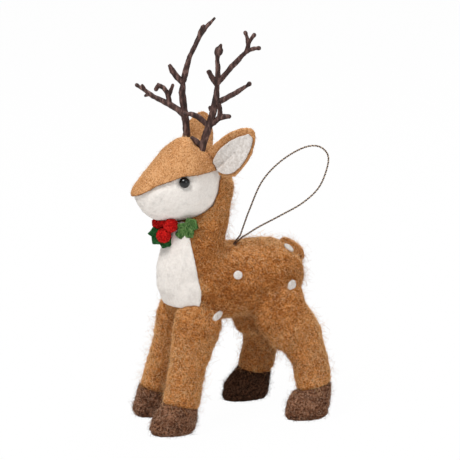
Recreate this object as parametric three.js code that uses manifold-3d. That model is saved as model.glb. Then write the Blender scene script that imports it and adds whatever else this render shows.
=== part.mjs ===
// A standing felt fawn ornament: foam cores in wool felt on a wire frame, with twig antlers,
// a holly sprig at the throat and a cord loop on the back.
// Millimetres, +Z up; the animal looks along -Y and its left side is +X.
// Every piece is worked out with the hooves on z = 0 and the middle of the body on x = 0;
// the last lines move the origin under the middle of the finished ornament.
import * as THREE from "three";
import { mergeVertices } from "three/addons/utils/BufferGeometryUtils.js";
import Module from "manifold-3d";

const wasm = await Module();
wasm.setup();

// Clearance between neighbours, and felt thicknesses
const GAP = 0.3;
const SKIN = 1.2;
const CROWN_FELT = 1.0;
const BIB_FELT = 0.9;
const EAR_FELT = 1.1;
const LINING_FELT = 0.7;
const LEAF_FELT = 0.9;
const SPOT_FELT = 0.8;

// Torso, from the front of the chest back and from the belly up
const CHEST_Y = -19.5;
const TORSO_LENGTH = 53.2;
const BELLY_HEIGHT = 37;
const TORSO_HEIGHT = 27.8;
const SHOULDER_WIDTH = 24;
const RUMP_WIDTH = 26;

// Neck
const NECK_TOP_WIDTH = 14.8;
const NECK_TOP_DEPTH = 13;
const NECK_BASE_WIDTH = 21;
const NECK_BASE_DEPTH = 23;

// Head: how far its chin stands over the back and its nose ahead of the chest, and its size
const CHIN_RISE = 9.5;
const NOSE_REACH = 11.4;
const HEAD_LENGTH = 32.5;
const HEAD_HEIGHT = 28.1;
const HEAD_WIDTH = 23;
const CROWN_TUCK = 2;
const EYE_DIAMETER = 4;

// Ears
const EAR_LENGTH = 20;
const EAR_WIDTH = 13;
const EAR_CURL_RADIUS = 11;
const EAR_BEND = -0.003;
const LINING_START = 1;
const LINING_LENGTH = 17.4;
const LINING_WIDTH = 10;

// Antlers
const ANTLER_SPACING = 12.4;
const ANTLER_DIAMETER = 2.3;
const ANTLER_SHANK = 6;

// Legs and hooves: stance is between the feet of a pair, and a step is how far a foot lies behind its hip
const FRONT_STANCE = 22;
const HIND_STANCE = 28.6;
const FRONT_LEFT_STEP = -8.7;
const FRONT_RIGHT_STEP = -9;
const HIND_LEFT_STEP = 12.8;
const HIND_RIGHT_STEP = 0;
const FRONT_LEG_WIDTH = 11.6;
const HIND_LEG_WIDTH = 10.4;
const FRONT_HOOF_HEIGHT = 9.4;
const HIND_HOOF_HEIGHT = 11.3;
const HOOF_TOE = 4.4;
const FRONT_RIGHT_TOE = 2.2;
const HIND_RIGHT_TOE = 6;
const WIRE_DIAMETER = 1.6;

// Tail, bib, holly and spots
const TAIL_LENGTH = 11.5;
const TAIL_WIDTH = 10;
const TAIL_THICKNESS = 5.6;
const BIB_DEPTH = 8.8;
const BIB_START = 0.27;
const BERRY_DIAMETER = 5.2;
const LEAF_LENGTH = 9;
const LEAF_WIDTH = 7;
const SPOT_DIAMETER = 3.2;

// Head peg and hanging cord
const PEG_DIAMETER = 2.4;
const CORD_DIAMETER = 0.6;
const KNOT_DIAMETER = 2.4;
const HANGER_OFFSET = 2.4;

// Facets round the skins, and round the foam cores and the insides of the skins
const OUTER_SIDES = 16;
const INNER_SIDES = 10;

// Materials
const felt = (colour) => new THREE.MeshStandardMaterial({ color: colour, roughness: 0.95, metalness: 0 });
const caramelWool = felt(0xb8793f);
const caramelFelt = felt(0xd6a06c);
const whiteFelt = felt(0xe8e2db);
const hoofWool = felt(0x64463a);
const redFelt = felt(0xc81414);
const greenFelt = felt(0x3c7d41);
const darkGreenFelt = felt(0x235028);
const foam = new THREE.MeshStandardMaterial({ color: 0xf4f1e8, roughness: 0.8, metalness: 0 });
const twigBrown = new THREE.MeshStandardMaterial({ color: 0x58423e, roughness: 0.55, metalness: 0 });
const blackBead = new THREE.MeshStandardMaterial({ color: 0x0a0a0c, roughness: 0.12, metalness: 0 });
const steelWire = new THREE.MeshStandardMaterial({ color: 0x9a9a9a, roughness: 0.4, metalness: 1 });
const dowelWood = new THREE.MeshStandardMaterial({ color: 0xcfae7b, roughness: 0.7, metalness: 0 });
const cordBraid = new THREE.MeshStandardMaterial({ color: 0x7d7166, roughness: 0.4, metalness: 0.6 });

const vec = (x, y, z) => new THREE.Vector3(x, y, z);
const between = THREE.MathUtils.lerp;
const joined = (bodies) => bodies.reduce((sum, one) => sum.add(one));

// A closed body for cutting and joining
function solid(geometry) {
  const bare = geometry.clone();
  bare.deleteAttribute("normal");
  bare.deleteAttribute("uv");
  const welded = mergeVertices(bare, 1e-4);
  const mesh = new wasm.Mesh({
    numProp: 3,
    vertProperties: new Float32Array(welded.attributes.position.array),
    triVerts: new Uint32Array(welded.index.array),
  });
  return new wasm.Manifold(mesh);
}

function surface(body) {
  const mesh = body.getMesh();
  const geometry = new THREE.BufferGeometry();
  geometry.setAttribute("position", new THREE.BufferAttribute(new Float32Array(mesh.vertProperties), 3));
  geometry.setIndex(new THREE.BufferAttribute(new Uint32Array(mesh.triVerts), 1));
  geometry.computeVertexNormals();
  return geometry;
}

// The largest of the separate bodies that a cut leaves
function mainBody(body) {
  return body.decompose().reduce((best, one) => (one.volume() > best.volume() ? one : best));
}

// A closed skin over rings of points that follow each other
function skinOver(rings) {
  const sides = rings[0].length;
  const points = rings.flat();
  const faces = [];
  for (let i = 0; i < rings.length - 1; i += 1) {
    for (let j = 0; j < sides; j += 1) {
      const a = i * sides + j;
      const b = i * sides + ((j + 1) % sides);
      faces.push(a, b, a + sides, b, b + sides, a + sides);
    }
  }
  const middle = (ring) => ring.reduce((sum, p) => sum.add(p), vec(0, 0, 0)).divideScalar(sides);
  const first = points.length;
  const last = first + 1;
  const end = (rings.length - 1) * sides;
  points.push(middle(rings[0]), middle(rings[rings.length - 1]));
  for (let j = 0; j < sides; j += 1) {
    faces.push(first, (j + 1) % sides, j);
    faces.push(last, end + j, end + ((j + 1) % sides));
  }
  return new THREE.BufferGeometry().setFromPoints(points).setIndex(faces);
}

// An oval body along a spine. A station gives its centre, its half width across X, and how far its section
// reaches over and under the spine; each end rounds off in the given share of the run.
function loft(stations, { rings, sides, roundStart = 0, roundEnd = 0, grow = 0 }) {
  const spine = new THREE.CatmullRomCurve3(stations.map((s) => vec(...s.at)), false, "centripetal");
  const sizes = new THREE.CatmullRomCurve3(stations.map((s) => vec(s.across, s.over, s.under)));
  const loops = [];
  for (let i = 0; i <= rings; i += 1) {
    const t = (1 - Math.cos((Math.PI * i) / rings)) / 2;
    const along = spine.getTangent(t);
    const across = vec(1, 0, 0).addScaledVector(along, -along.x).normalize();
    const over = across.clone().cross(along);
    const centre = spine.getPoint(t).addScaledVector(along, grow * (2 * t - 1));
    const half = sizes.getPoint(t).addScalar(grow);
    const fromStart = roundStart > 0 ? Math.min(1, t / roundStart) : 1;
    const fromEnd = roundEnd > 0 ? Math.min(1, (1 - t) / roundEnd) : 1;
    const round = Math.sqrt((1 - (1 - fromStart) ** 2) * (1 - (1 - fromEnd) ** 2));
    const size = Math.max(round, 0.02);
    const loop = [];
    for (let j = 0; j < sides; j += 1) {
      const angle = (-2 * Math.PI * j) / sides;
      const reach = Math.sin(angle) > 0 ? half.y : half.z;
      const point = centre.clone().addScaledVector(across, half.x * size * Math.cos(angle));
      loop.push(point.addScaledVector(over, reach * size * Math.sin(angle)));
    }
    loops.push(loop);
  }
  return skinOver(loops);
}

function tube(points, diameter, steps, sides) {
  const extrudePath = new THREE.CatmullRomCurve3(points, false, "centripetal");
  const section = new THREE.Shape().absarc(0, 0, diameter / 2, 0, 2 * Math.PI);
  return solid(new THREE.ExtrudeGeometry(section, { steps, curveSegments: sides / 2, extrudePath }));
}

function ball(centre, radius) {
  return solid(new THREE.SphereGeometry(radius, 10, 6).translate(centre.x, centre.y, centre.z));
}

// Where a line from outside first meets a surface, and the way that the surface faces there
function meet(geometry, from, towards) {
  const mesh = new THREE.Mesh(geometry, new THREE.MeshBasicMaterial({ side: THREE.DoubleSide }));
  const ray = new THREE.Raycaster(from, towards.clone().sub(from).normalize());
  const hit = ray.intersectObject(mesh)[0];
  return { point: hit.point, normal: hit.face.normal.clone() };
}

// A frame at a point: Z along the first direction, Y as near to the second as it goes
function frameAt(point, zAxis, yHint) {
  const z = zAxis.clone().normalize();
  const y = yHint.clone().addScaledVector(z, -yHint.dot(z)).normalize();
  return new THREE.Matrix4().makeBasis(y.clone().cross(z), y, z).setPosition(point);
}

// Heights and places that the sizes give, and a distance that lies well outside the ornament
const OUTSIDE = 3 * RUMP_WIDTH;
const RUMP_Y = CHEST_Y + TORSO_LENGTH;
const BACK_Z = BELLY_HEIGHT + TORSO_HEIGHT;
const AXIS_Z = BELLY_HEIGHT + TORSO_HEIGHT / 2;
const GIRTH = TORSO_HEIGHT / 2;
const CHIN_Z = BACK_Z + CHIN_RISE;
const CROWN_Z = CHIN_Z + HEAD_HEIGHT;
const NOSE_Y = CHEST_Y - NOSE_REACH;
const HEAD_BACK_Y = NOSE_Y + HEAD_LENGTH;
const torsoY = (share) => CHEST_Y + TORSO_LENGTH * share;
const torsoZ = (share) => BELLY_HEIGHT + TORSO_HEIGHT * share;
const headY = (share) => NOSE_Y + HEAD_LENGTH * share;
const headZ = (share) => CHIN_Z + HEAD_HEIGHT * share;

// Torso and neck, swollen or shrunk by grow
function torso(grow, sides = OUTER_SIDES) {
  const stations = [
    { at: [0, CHEST_Y, AXIS_Z + 2], across: SHOULDER_WIDTH * 0.45, over: GIRTH - 2, under: GIRTH - 2 },
    { at: [0, torsoY(0.21), AXIS_Z], across: SHOULDER_WIDTH / 2, over: GIRTH, under: GIRTH },
    { at: [0, torsoY(0.51), AXIS_Z], across: SHOULDER_WIDTH / 2, over: GIRTH, under: GIRTH - 0.6 },
    { at: [0, torsoY(0.77), AXIS_Z], across: RUMP_WIDTH / 2, over: GIRTH, under: GIRTH + 1 },
    { at: [0, RUMP_Y - 0.3, AXIS_Z - 3], across: RUMP_WIDTH * 0.45, over: GIRTH - 1, under: GIRTH + 2 },
  ];
  return solid(loft(stations, { rings: 9, sides, roundStart: 0.25, roundEnd: 0.3, grow }));
}

function neck(grow, sides = OUTER_SIDES) {
  const baseWide = NECK_BASE_WIDTH / 2;
  const baseDeep = NECK_BASE_DEPTH / 2;
  const topWide = NECK_TOP_WIDTH / 2;
  const topDeep = NECK_TOP_DEPTH / 2;
  const baseY = CHEST_Y + baseDeep;
  const topY = HEAD_BACK_Y - 0.8;
  const topZ = headZ(0.7);
  const riseZ = (share) => between(BACK_Z, topZ, share);
  const stations = [
    { at: [0, baseY, AXIS_Z - 8], across: baseWide, over: baseDeep + 1.4, under: baseDeep },
    { at: [0, baseY, AXIS_Z + 3], across: baseWide, over: baseDeep + 1.3, under: baseDeep },
    { at: [0, baseY, BACK_Z - 2], across: baseWide, over: baseDeep + 0.9, under: baseDeep - 1.3 },
    { at: [0, topY - 5.4, riseZ(0.33)], across: topWide + 0.4, over: topDeep + 2.8, under: topDeep + 1.8 },
    { at: [0, topY - 1.4, riseZ(0.7)], across: topWide, over: topDeep, under: topDeep + 0.8 },
    { at: [0, topY, topZ], across: topWide, over: topDeep, under: topDeep },
  ];
  return solid(loft(stations, { rings: 8, sides, roundStart: 0.12, roundEnd: 0.22, grow }));
}

// Head: an egg with a straight forehead and its nose forward
function egg(grow, sides = OUTER_SIDES) {
  const axisZ = headZ(0.49);
  const top = CROWN_Z - axisZ;
  const bottom = axisZ - CHIN_Z;
  const half = HEAD_WIDTH / 2;
  const stations = [
    { at: [0, NOSE_Y, axisZ - 2.4], across: half * 0.34, over: top * 0.06, under: bottom * 0.44 },
    { at: [0, headY(0.19), axisZ - 1.8], across: half * 0.64, over: top * 0.33, under: bottom * 0.78 },
    { at: [0, headY(0.41), axisZ - 0.8], across: half * 0.92, over: top * 0.76, under: bottom * 0.94 },
    { at: [0, headY(0.62), axisZ + 0.4], across: half, over: top * 1.06, under: bottom },
    { at: [0, HEAD_BACK_Y, axisZ + 1.4], across: half * 0.9, over: top * 1.16, under: bottom * 1.32 },
  ];
  return solid(loft(stations, { rings: 9, sides, roundStart: 0.2, roundEnd: 0.3, grow }));
}

// A block across the whole ornament, whose outline is given in its side view
function sideBlock(outline) {
  const across = { depth: 2 * OUTSIDE, bevelEnabled: false, curveSegments: 4 };
  const block = new THREE.ExtrudeGeometry(outline, across);
  const turn = new THREE.Matrix4().makeBasis(vec(0, 1, 0), vec(0, 0, 1), vec(1, 0, 0));
  return solid(block.translate(0, 0, -OUTSIDE).applyMatrix4(turn));
}

// Everything above the lower edge of the crown felt, raised by lift
function aboveCrownEdge(lift) {
  const edge = new THREE.Shape([
    [NOSE_Y - 10, headZ(0.25)],
    [NOSE_Y, headZ(0.362)],
    [headY(0.19), headZ(0.512)],
    [headY(0.44), headZ(0.633)],
    [headY(0.83), headZ(0.662)],
    [HEAD_BACK_Y + 20, headZ(0.698)],
    [HEAD_BACK_Y + 20, CROWN_Z + 40],
    [NOSE_Y - 10, CROWN_Z + 40],
  ].map(([y, z]) => new THREE.Vector2(y, z + lift)));
  return sideBlock(edge);
}

const headEgg = egg(0);
const crownTop = egg(GAP + CROWN_FELT);
const crownSurface = surface(crownTop);
const headRoom = egg(GAP).add(egg(2 * GAP + CROWN_FELT).intersect(aboveCrownEdge(-GAP)));
const torsoSurface = surface(torso(0));
const bodyOuter = mainBody(torso(0).add(neck(0)).subtract(headRoom));
const bodyRoom = torso(GAP).add(neck(GAP));

// Legs: forms are shares of the way from hip to ankle, with depths as shares of the leg's width
const FRONT_FORM = [
  { drop: 0, lean: 0, over: 1, under: 0.69, flare: 1.05 },
  { drop: 0.3, lean: 1, over: 0.8, under: 0.7, flare: 1.08 },
  { drop: 0.65, lean: 0.6, over: 0.52, under: 0.55, flare: 1 },
  { drop: 1.1, lean: 0, over: 0.54, under: 0.55, flare: 1 },
];
const HIND_FORM = [
  { drop: 0, lean: 2.6, over: 1.4, under: 1.1, flare: 1.05 },
  { drop: 0.22, lean: -1.6, over: 0.87, under: 1.06, flare: 1.18 },
  { drop: 0.41, lean: -1.3, over: 0.86, under: 1.02, flare: 1.22 },
  { drop: 0.545, lean: 0.9, over: 0.92, under: 0.82, flare: 1.12 },
  { drop: 0.665, lean: 1.9, over: 0.72, under: 0.58, flare: 1.02 },
  { drop: 1.09, lean: -0.6, over: 0.6, under: 0.6, flare: 1 },
];

function frontLeg(side, stance, step, toe) {
  const hip = vec(side * (SHOULDER_WIDTH / 2 - 5.4), torsoY(0.185), AXIS_Z - 3);
  const foot = vec(side * stance, hip.y + step, FRONT_HOOF_HEIGHT);
  return { hip, foot, width: FRONT_LEG_WIDTH, form: FRONT_FORM, cap: 0.3, toe };
}

function hindLeg(side, hipShare, stance, step, toe) {
  const hip = vec(side * (SHOULDER_WIDTH / 2 - 5.4), torsoY(hipShare), AXIS_Z + 2);
  const foot = vec(side * stance, hip.y + step, HIND_HOOF_HEIGHT);
  return { hip, foot, width: HIND_LEG_WIDTH, form: HIND_FORM, cap: 0.2, toe };
}

const legs = {
  front_left: frontLeg(1, FRONT_STANCE / 2 - 0.6, FRONT_LEFT_STEP, HOOF_TOE),
  front_right: frontLeg(-1, FRONT_STANCE / 2 + 0.6, FRONT_RIGHT_STEP, FRONT_RIGHT_TOE),
  hind_left: hindLeg(1, 0.735, HIND_STANCE / 2 + 0.8, HIND_LEFT_STEP, HOOF_TOE),
  hind_right: hindLeg(-1, 0.772, HIND_STANCE / 2 - 0.8, HIND_RIGHT_STEP, HIND_RIGHT_TOE),
};

function legStations({ hip, foot, width, form }) {
  return form.map(({ drop, lean, over, under, flare }) => {
    const at = hip.clone().lerp(foot, drop).add(vec(0, lean, 0));
    return { at: at.toArray(), across: (width / 2) * flare, over: over * width, under: under * width };
  });
}

function legLoft(one, grow) {
  return solid(loft(legStations(one), { rings: 8, sides: 12, roundStart: one.cap, grow }));
}

// Wire frame: one wire bent through each pair of legs and across the torso
function wirePath(left, right) {
  const down = (one) => {
    const [, ...middle] = legStations(one).slice(0, -1).map((s) => vec(...s.at));
    const { x, y, z } = one.foot;
    return [...middle, one.foot, vec(x, y - 1, z * 0.35)];
  };
  return [...down(left).reverse(), left.hip, right.hip, ...down(right)];
}

const frontPath = wirePath(legs.front_left, legs.front_right);
const hindPath = wirePath(legs.hind_left, legs.hind_right);
const frontWire = tube(frontPath, WIRE_DIAMETER, 20, 6);
const hindWire = tube(hindPath, WIRE_DIAMETER, 20, 6);
const wireBore = WIRE_DIAMETER + 2.4 * GAP;
const wireRoom = tube(frontPath, wireBore, 20, 6).add(tube(hindPath, wireBore, 20, 6));

// Peg that holds the head on the neck
const pegFoot = vec(0, CHEST_Y + NECK_BASE_DEPTH / 2 + 3, BACK_Z - 1);
const pegHead = vec(0, headY(0.6), headZ(0.62));
const pegEnds = [-0.03, 1.03].map((share) => pegFoot.clone().lerp(pegHead, share));
const neckPeg = tube([pegFoot, pegHead], PEG_DIAMETER, 1, 10);
const pegRoom = tube(pegEnds, PEG_DIAMETER + 2 * GAP, 1, 10);

// Knot of the hanging cord under the felt of the back, its strands up through the felt
const hangerTop = vec(HANGER_OFFSET, torsoY(0.4865), BACK_Z + OUTSIDE);
const hangerSeat = meet(torsoSurface, hangerTop, hangerTop.clone().setZ(0)).point;
function knot(grow) {
  const radius = KNOT_DIAMETER / 2 + grow;
  const strands = CORD_DIAMETER + grow;
  const depth = SKIN + GAP + KNOT_DIAMETER / 2;
  const { x, y, z } = hangerSeat;
  const up = new THREE.CylinderGeometry(strands, strands, depth + grow, 10).rotateX(Math.PI / 2);
  return ball(vec(x, y, z - depth), radius).add(solid(up.translate(x, y, z - (depth - grow) / 2)));
}

// Body felt and the foam core inside it
const bored = (body) => body.subtract(wireRoom).subtract(pegRoom).subtract(knot(GAP));
const bodyInside = (grow) => torso(grow, INNER_SIDES).add(neck(grow, INNER_SIDES));
const bodyFelt = mainBody(bored(bodyOuter.subtract(bodyInside(-SKIN))));
const bodyCore = mainBody(bored(bodyInside(-SKIN - GAP).subtract(egg(SKIN + 2 * GAP))));

// Legs of wound wool seated on the body felt, and hooves under them with flat soles
function legAxis(one) {
  const shin = vec(...legStations(one).at(-2).at);
  return shin.sub(one.foot).normalize();
}

function legWool(one) {
  const axis = legAxis(one);
  const cut = legLoft(one, 0).subtract(bodyRoom).trimByPlane(axis.toArray(), axis.dot(one.foot) + GAP);
  return mainBody(cut.subtract(wireRoom));
}

function hoof(one) {
  const { x, y, z } = one.foot;
  const { over, under } = legStations(one).at(-1);
  const across = one.width / 2;
  const toe = under + one.toe;
  const stations = [
    { at: [x, y + 0.5, z + 4], across, over, under },
    { at: [x, y, z], across: across + 0.1, over: over + 0.1, under: under + 0.3 },
    { at: [x, y - 0.6, z / 2], across: across + 0.5, over: over + 0.1, under: toe - 0.8 },
    { at: [x, y - 0.8, 1.6], across: across + 0.4, over: over - 0.6, under: toe },
    { at: [x, y - 0.8, 0], across: across - 0.7, over: over - 1.8, under: toe - 1.2 },
  ];
  const down = legAxis(one).negate();
  const whole = solid(loft(stations, { rings: 6, sides: 14 }));
  return mainBody(whole.trimByPlane(down.toArray(), down.dot(one.foot)).subtract(wireRoom));
}

const wool = Object.fromEntries(Object.entries(legs).map(([name, one]) => [name, legWool(one)]));
const legRoom = joined(Object.values(legs).map((one) => legLoft(one, GAP)));

// Tail: a lump of wool on the top of the rump
const tailRoot = meet(torsoSurface, vec(0, RUMP_Y + 20, BACK_Z + 10), vec(0, RUMP_Y - 15, AXIS_Z + 1)).point;
const tailStations = [
  { at: [0, -TAIL_LENGTH * 0.55, -0.4], across: TAIL_WIDTH * 0.34, over: TAIL_THICKNESS * 0.35, under: 3 },
  { at: [0, 0, -0.2], across: TAIL_WIDTH / 2, over: TAIL_THICKNESS * 0.43, under: 4 },
  { at: [0, TAIL_LENGTH * 0.45, 0], across: TAIL_WIDTH * 0.4, over: TAIL_THICKNESS * 0.43, under: 3.4 },
];
const tailLoft = loft(tailStations, { rings: 7, sides: 12, roundStart: 0.4, roundEnd: 0.4 });
const tailFrame = frameAt(tailRoot, vec(0, 0.75, 0.66), vec(0, 0.66, -0.75));
const tailWool = mainBody(solid(tailLoft.applyMatrix4(tailFrame)).subtract(bodyRoom));

// Chest bib: white felt laid on the front of the chest and throat, up to an edge that the side view shows
const bibBottom = torsoZ(BIB_START);
const bibOutline = new THREE.Shape()
  .moveTo(CHEST_Y - OUTSIDE, bibBottom)
  .lineTo(CHEST_Y + BIB_DEPTH - 0.6, bibBottom)
  .quadraticCurveTo(CHEST_Y + BIB_DEPTH, bibBottom, CHEST_Y + BIB_DEPTH, torsoZ(0.5))
  .lineTo(CHEST_Y + BIB_DEPTH * 0.74, CHIN_Z - 7)
  .lineTo(CHEST_Y + BIB_DEPTH * 0.6, CHIN_Z + 4)
  .lineTo(CHEST_Y - OUTSIDE, CHIN_Z + 4);
const bibTop = torso(GAP + BIB_FELT).add(neck(GAP + BIB_FELT));
const chestBib = mainBody(
  bibTop.intersect(sideBlock(bibOutline)).subtract(bodyRoom).subtract(egg(2 * GAP)).subtract(legRoom),
);

// Eyes: beads sunk into the face below the crown's edge
const eyeZ = headZ(0.643) - EYE_DIAMETER / 2;
const eyeCentres = [1, -1].map((side) => {
  const aside = vec(side * OUTSIDE, headY(0.452), eyeZ);
  const { point, normal } = meet(surface(headEgg), aside, aside.clone().setX(0));
  return point.addScaledVector(normal, -0.2);
});
const eyes = eyeCentres.map((centre) => ball(centre, EYE_DIAMETER / 2));
const eyeRoom = joined(eyeCentres.map((centre) => ball(centre, EYE_DIAMETER / 2 + GAP)));

// A tapering twig through a few points, blunt or with a bud near its tip
function twig(points, thick, thin, bud = 0) {
  const path = new THREE.CatmullRomCurve3(points, false, "centripetal");
  const steps = bud ? 7 : points.length;
  const frames = path.computeFrenetFrames(steps, false);
  const sides = 5;
  const rings = [];
  for (let i = 0; i <= steps; i += 1) {
    const t = i / steps;
    const swell = 1 + bud * Math.exp(-(((t - 0.84) / 0.09) ** 2));
    const close = i === steps ? 0.6 : 1;
    const radius = (between(thick, thin, t) / 2) * swell * close;
    const centre = path.getPointAt(t);
    rings.push(Array.from({ length: sides }, (_, j) => {
      const angle = (2 * Math.PI * j) / sides;
      const point = centre.clone().addScaledVector(frames.normals[i], radius * Math.cos(angle));
      return point.addScaledVector(frames.binormals[i], radius * Math.sin(angle));
    }));
  }
  return solid(skinOver(rings));
}

// Branches of each antler from the place where it leaves the crown; thicknesses are shares of the beam's
const LEFT_ANTLER = [
  { path: [[-0.4, -0.6, -ANTLER_SHANK], [0, 0, 0], [1.3, 2, 7.3], [2.2, 3.1, 11.8], [3.6, 4, 18.4],
    [4.6, 4.1, 23.7]], thick: 1, thin: 0.76 },
  { path: [[0.1, 0, 0.9], [-0.4, -1.8, 2.4], [-0.9, -3.5, 4]], thick: 0.68, thin: 0.64 },
  { path: [[4.6, 4.1, 22.8], [4.1, 2.3, 25], [3.1, 1.3, 27.4]], thick: 0.76, thin: 0.7 },
  { path: [[4.6, 4.1, 23.3], [5.1, 4, 28.1], [5.6, 3.5, 31.8], [5.9, 3.7, 34.1], [6.6, 4.5, 36.9]],
    thick: 0.76, thin: 0.56, bud: 0.6 },
  { path: [[4.6, 4.1, 23.3], [7.1, 8.1, 28.9], [9.1, 10.6, 32.2], [10.6, 12.2, 34.6]],
    thick: 0.76, thin: 0.68 },
  { path: [[10.4, 12, 34.3], [12.1, 13.7, 35.4], [13.6, 15.6, 35.8]], thick: 0.58, thin: 0.52 },
  { path: [[10.5, 12.1, 34.3], [11.1, 12.6, 37], [11.1, 11.5, 41.2]], thick: 0.58, thin: 0.5 },
  { path: [[11.1, 12.5, 36.7], [12.1, 13.1, 38.7], [13.1, 14, 40.5]], thick: 0.5, thin: 0.46 },
  { path: [[3.2, 3.9, 16.2], [5.6, 7.5, 18.4], [7.6, 10.5, 20.5], [10.1, 13.7, 23.3]],
    thick: 0.68, thin: 0.58 },
  { path: [[1.5, 2, 8.1], [0.6, -0.7, 10.6], [-0.4, -2.4, 12], [-1.9, -5.9, 12.3]], thick: 0.6, thin: 0.46 },
  { path: [[1.4, 2, 8.1], [2.6, 3.6, 9.4], [4.1, 5.1, 11.2], [6.1, 7.9, 11.7]], thick: 0.62, thin: 0.56 },
  { path: [[4, 5, 11.1], [4.6, 4.9, 14.1], [5.1, 4.3, 16.2]], thick: 0.54, thin: 0.5 },
  { path: [[2.4, 3.1, 12.7], [2.1, 2.1, 14.8]], thick: 0.46, thin: 0.42 },
];
const RIGHT_ANTLER = [
  { path: [[0.4, -0.6, -ANTLER_SHANK], [0, -0.2, 0], [-0.4, -0.5, 6.2], [-1, -0.7, 11], [-1.8, -1.4, 16.2],
    [-2.8, -0.5, 22.1]], thick: 1, thin: 0.8 },
  { path: [[-2.8, -0.6, 21.2], [-3.8, -3.4, 24.2], [-5.3, -4.8, 27.5]], thick: 0.82, thin: 0.78 },
  { path: [[-2.8, -0.5, 21.7], [-3.3, 0.9, 26], [-3.8, 2.3, 29.8], [-4.8, 5.1, 34.1], [-5.8, 8.2, 38.4],
    [-6.8, 13.4, 42.9]], thick: 0.82, thin: 0.5 },
  { path: [[-5.2, 6.2, 35.6], [-5.1, 6.9, 37.7], [-4.8, 8.4, 40.9]], thick: 0.54, thin: 0.5, bud: 0.5 },
  { path: [[-0.9, -0.8, 10], [-2.8, -3.6, 12.5], [-6.8, -9, 15.6], [-8.8, -11.2, 17.1], [-10.3, -13.2, 19],
    [-11.8, -14.8, 20]], thick: 0.82, thin: 0.5 },
  { path: [[-8.7, -11.1, 17], [-10.3, -12.2, 16.1]], thick: 0.48, thin: 0.44 },
  { path: [[-9.7, -12.4, 18.2], [-9.8, -13.5, 20.3]], thick: 0.48, thin: 0.44 },
  { path: [[-4.2, -5.3, 13.5], [-4.6, -5.6, 16.7], [-5.3, -6.3, 18.7], [-6.3, -8.9, 20.4],
    [-6.6, -9.5, 18.5]], thick: 0.56, thin: 0.5 },
  { path: [[-4.5, -5.6, 16.1], [-3.8, -4, 20.6]], thick: 0.46, thin: 0.42 },
];

function antler(branches, side) {
  const above = vec((side * ANTLER_SPACING) / 2, headY(0.708), CROWN_Z + OUTSIDE);
  const seat = meet(crownSurface, above, above.clone().setZ(0)).point;
  const placed = branches.map((one) => ({ ...one, path: one.path.map((p) => vec(...p).add(seat)) }));
  const twigs = placed.map(({ path, thick, thin, bud }) =>
    twig(path, thick * ANTLER_DIAMETER, thin * ANTLER_DIAMETER, bud));
  const [shank, root, beam] = placed[0].path;
  const socket = [shank.clone().add(vec(0, 0, -GAP)), root, beam];
  const room = tube(socket, ANTLER_DIAMETER + 2.4 * GAP, 6, 10).add(ball(root, ANTLER_DIAMETER * 0.8));
  return { body: mainBody(joined(twigs)), room };
}

const leftAntler = antler(LEFT_ANTLER, 1);
const rightAntler = antler(RIGHT_ANTLER, -1);
const socketRoom = leftAntler.room.add(rightAntler.room);

// Head pieces: white face felt under the edge of the crown felt, over a foam core
const pierced = (body) => body.subtract(eyeRoom).subtract(pegRoom).subtract(socketRoom);
const faceInside = egg(-SKIN, INNER_SIDES);
const faceFelt = mainBody(pierced(headEgg.subtract(faceInside).subtract(aboveCrownEdge(CROWN_TUCK))));
const underCrown = headEgg.intersect(aboveCrownEdge(CROWN_TUCK + GAP));
const headCore = mainBody(pierced(egg(-SKIN - GAP, INNER_SIDES).add(underCrown)));
const crownFelt = mainBody(pierced(crownTop.subtract(egg(GAP)).intersect(aboveCrownEdge(0))));

// A leaf of felt along +Z, curled about its length towards +Y; edge gives its half widths along its length,
// towards -X and towards +X
function leaf(length, width, thickness, { edge, curl, bend, lift = 0, start = 0, teeth = 0 }) {
  const rows = teeth ? teeth * 4 : 8;
  const columns = 4;
  const outline = new THREE.CatmullRomCurve3(edge.map((row) => vec(...row)), false, "catmullrom");
  const sheet = (offset) => {
    const grid = [];
    for (let i = 0; i <= rows; i += 1) {
      const at = outline.getPoint(i / rows);
      const scallop = teeth ? 0.78 + 0.22 * Math.cos((2 * Math.PI * teeth * i) / rows) : 1;
      const [from, to] = [-at.y, at.z].map((share) => (width / 2) * share * scallop);
      const z = start + length * at.x;
      for (let j = 0; j <= columns; j += 1) {
        const x = between(from, to, j / columns);
        grid.push(vec(x, (x * x) / (2 * curl) + bend * z * z + offset, z));
      }
    }
    return grid;
  };
  const front = sheet(lift + thickness / 2);
  const back = sheet(lift - thickness / 2);
  const wide = columns + 1;
  const faces = [];
  const quad = (a, b, c, d) => faces.push(a, b, c, a, c, d);
  for (let i = 0; i < rows; i += 1) {
    for (let j = 0; j < columns; j += 1) {
      const a = i * wide + j;
      const b = a + front.length;
      quad(a, a + wide, a + wide + 1, a + 1);
      quad(b, b + 1, b + wide + 1, b + wide);
    }
  }
  const rim = [];
  for (let j = 0; j < wide; j += 1) rim.push(j);
  for (let i = 1; i <= rows; i += 1) rim.push(i * wide + columns);
  for (let j = columns - 1; j >= 0; j -= 1) rim.push(rows * wide + j);
  for (let i = rows - 1; i >= 1; i -= 1) rim.push(i * wide);
  rim.forEach((a, k) => {
    const b = rim[(k + 1) % rim.length];
    quad(a, b, b + front.length, a + front.length);
  });
  return new THREE.BufferGeometry().setFromPoints([...front, ...back]).setIndex(faces);
}

// Ears: a curled leaf of crown felt with a white lining, standing out, up and back from the crown
const EAR_EDGE = [[0, 0.62, 0.55], [0.2, 1.16, 0.84], [0.45, 1.14, 0.82], [0.7, 0.95, 0.74],
  [0.9, 0.52, 0.46], [1, 0.14, 0.14]];
const LINING_EDGE = [[0, 0.55, 0.1], [0.1, 1.02, 0.32], [0.25, 1.24, 0.5], [0.45, 1.28, 0.56],
  [0.7, 1.04, 0.46], [0.88, 0.72, 0.2], [1, 0.38, 0.04]];
const earRoom = egg(2 * GAP + CROWN_FELT).add(neck(GAP)).add(socketRoom);

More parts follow.
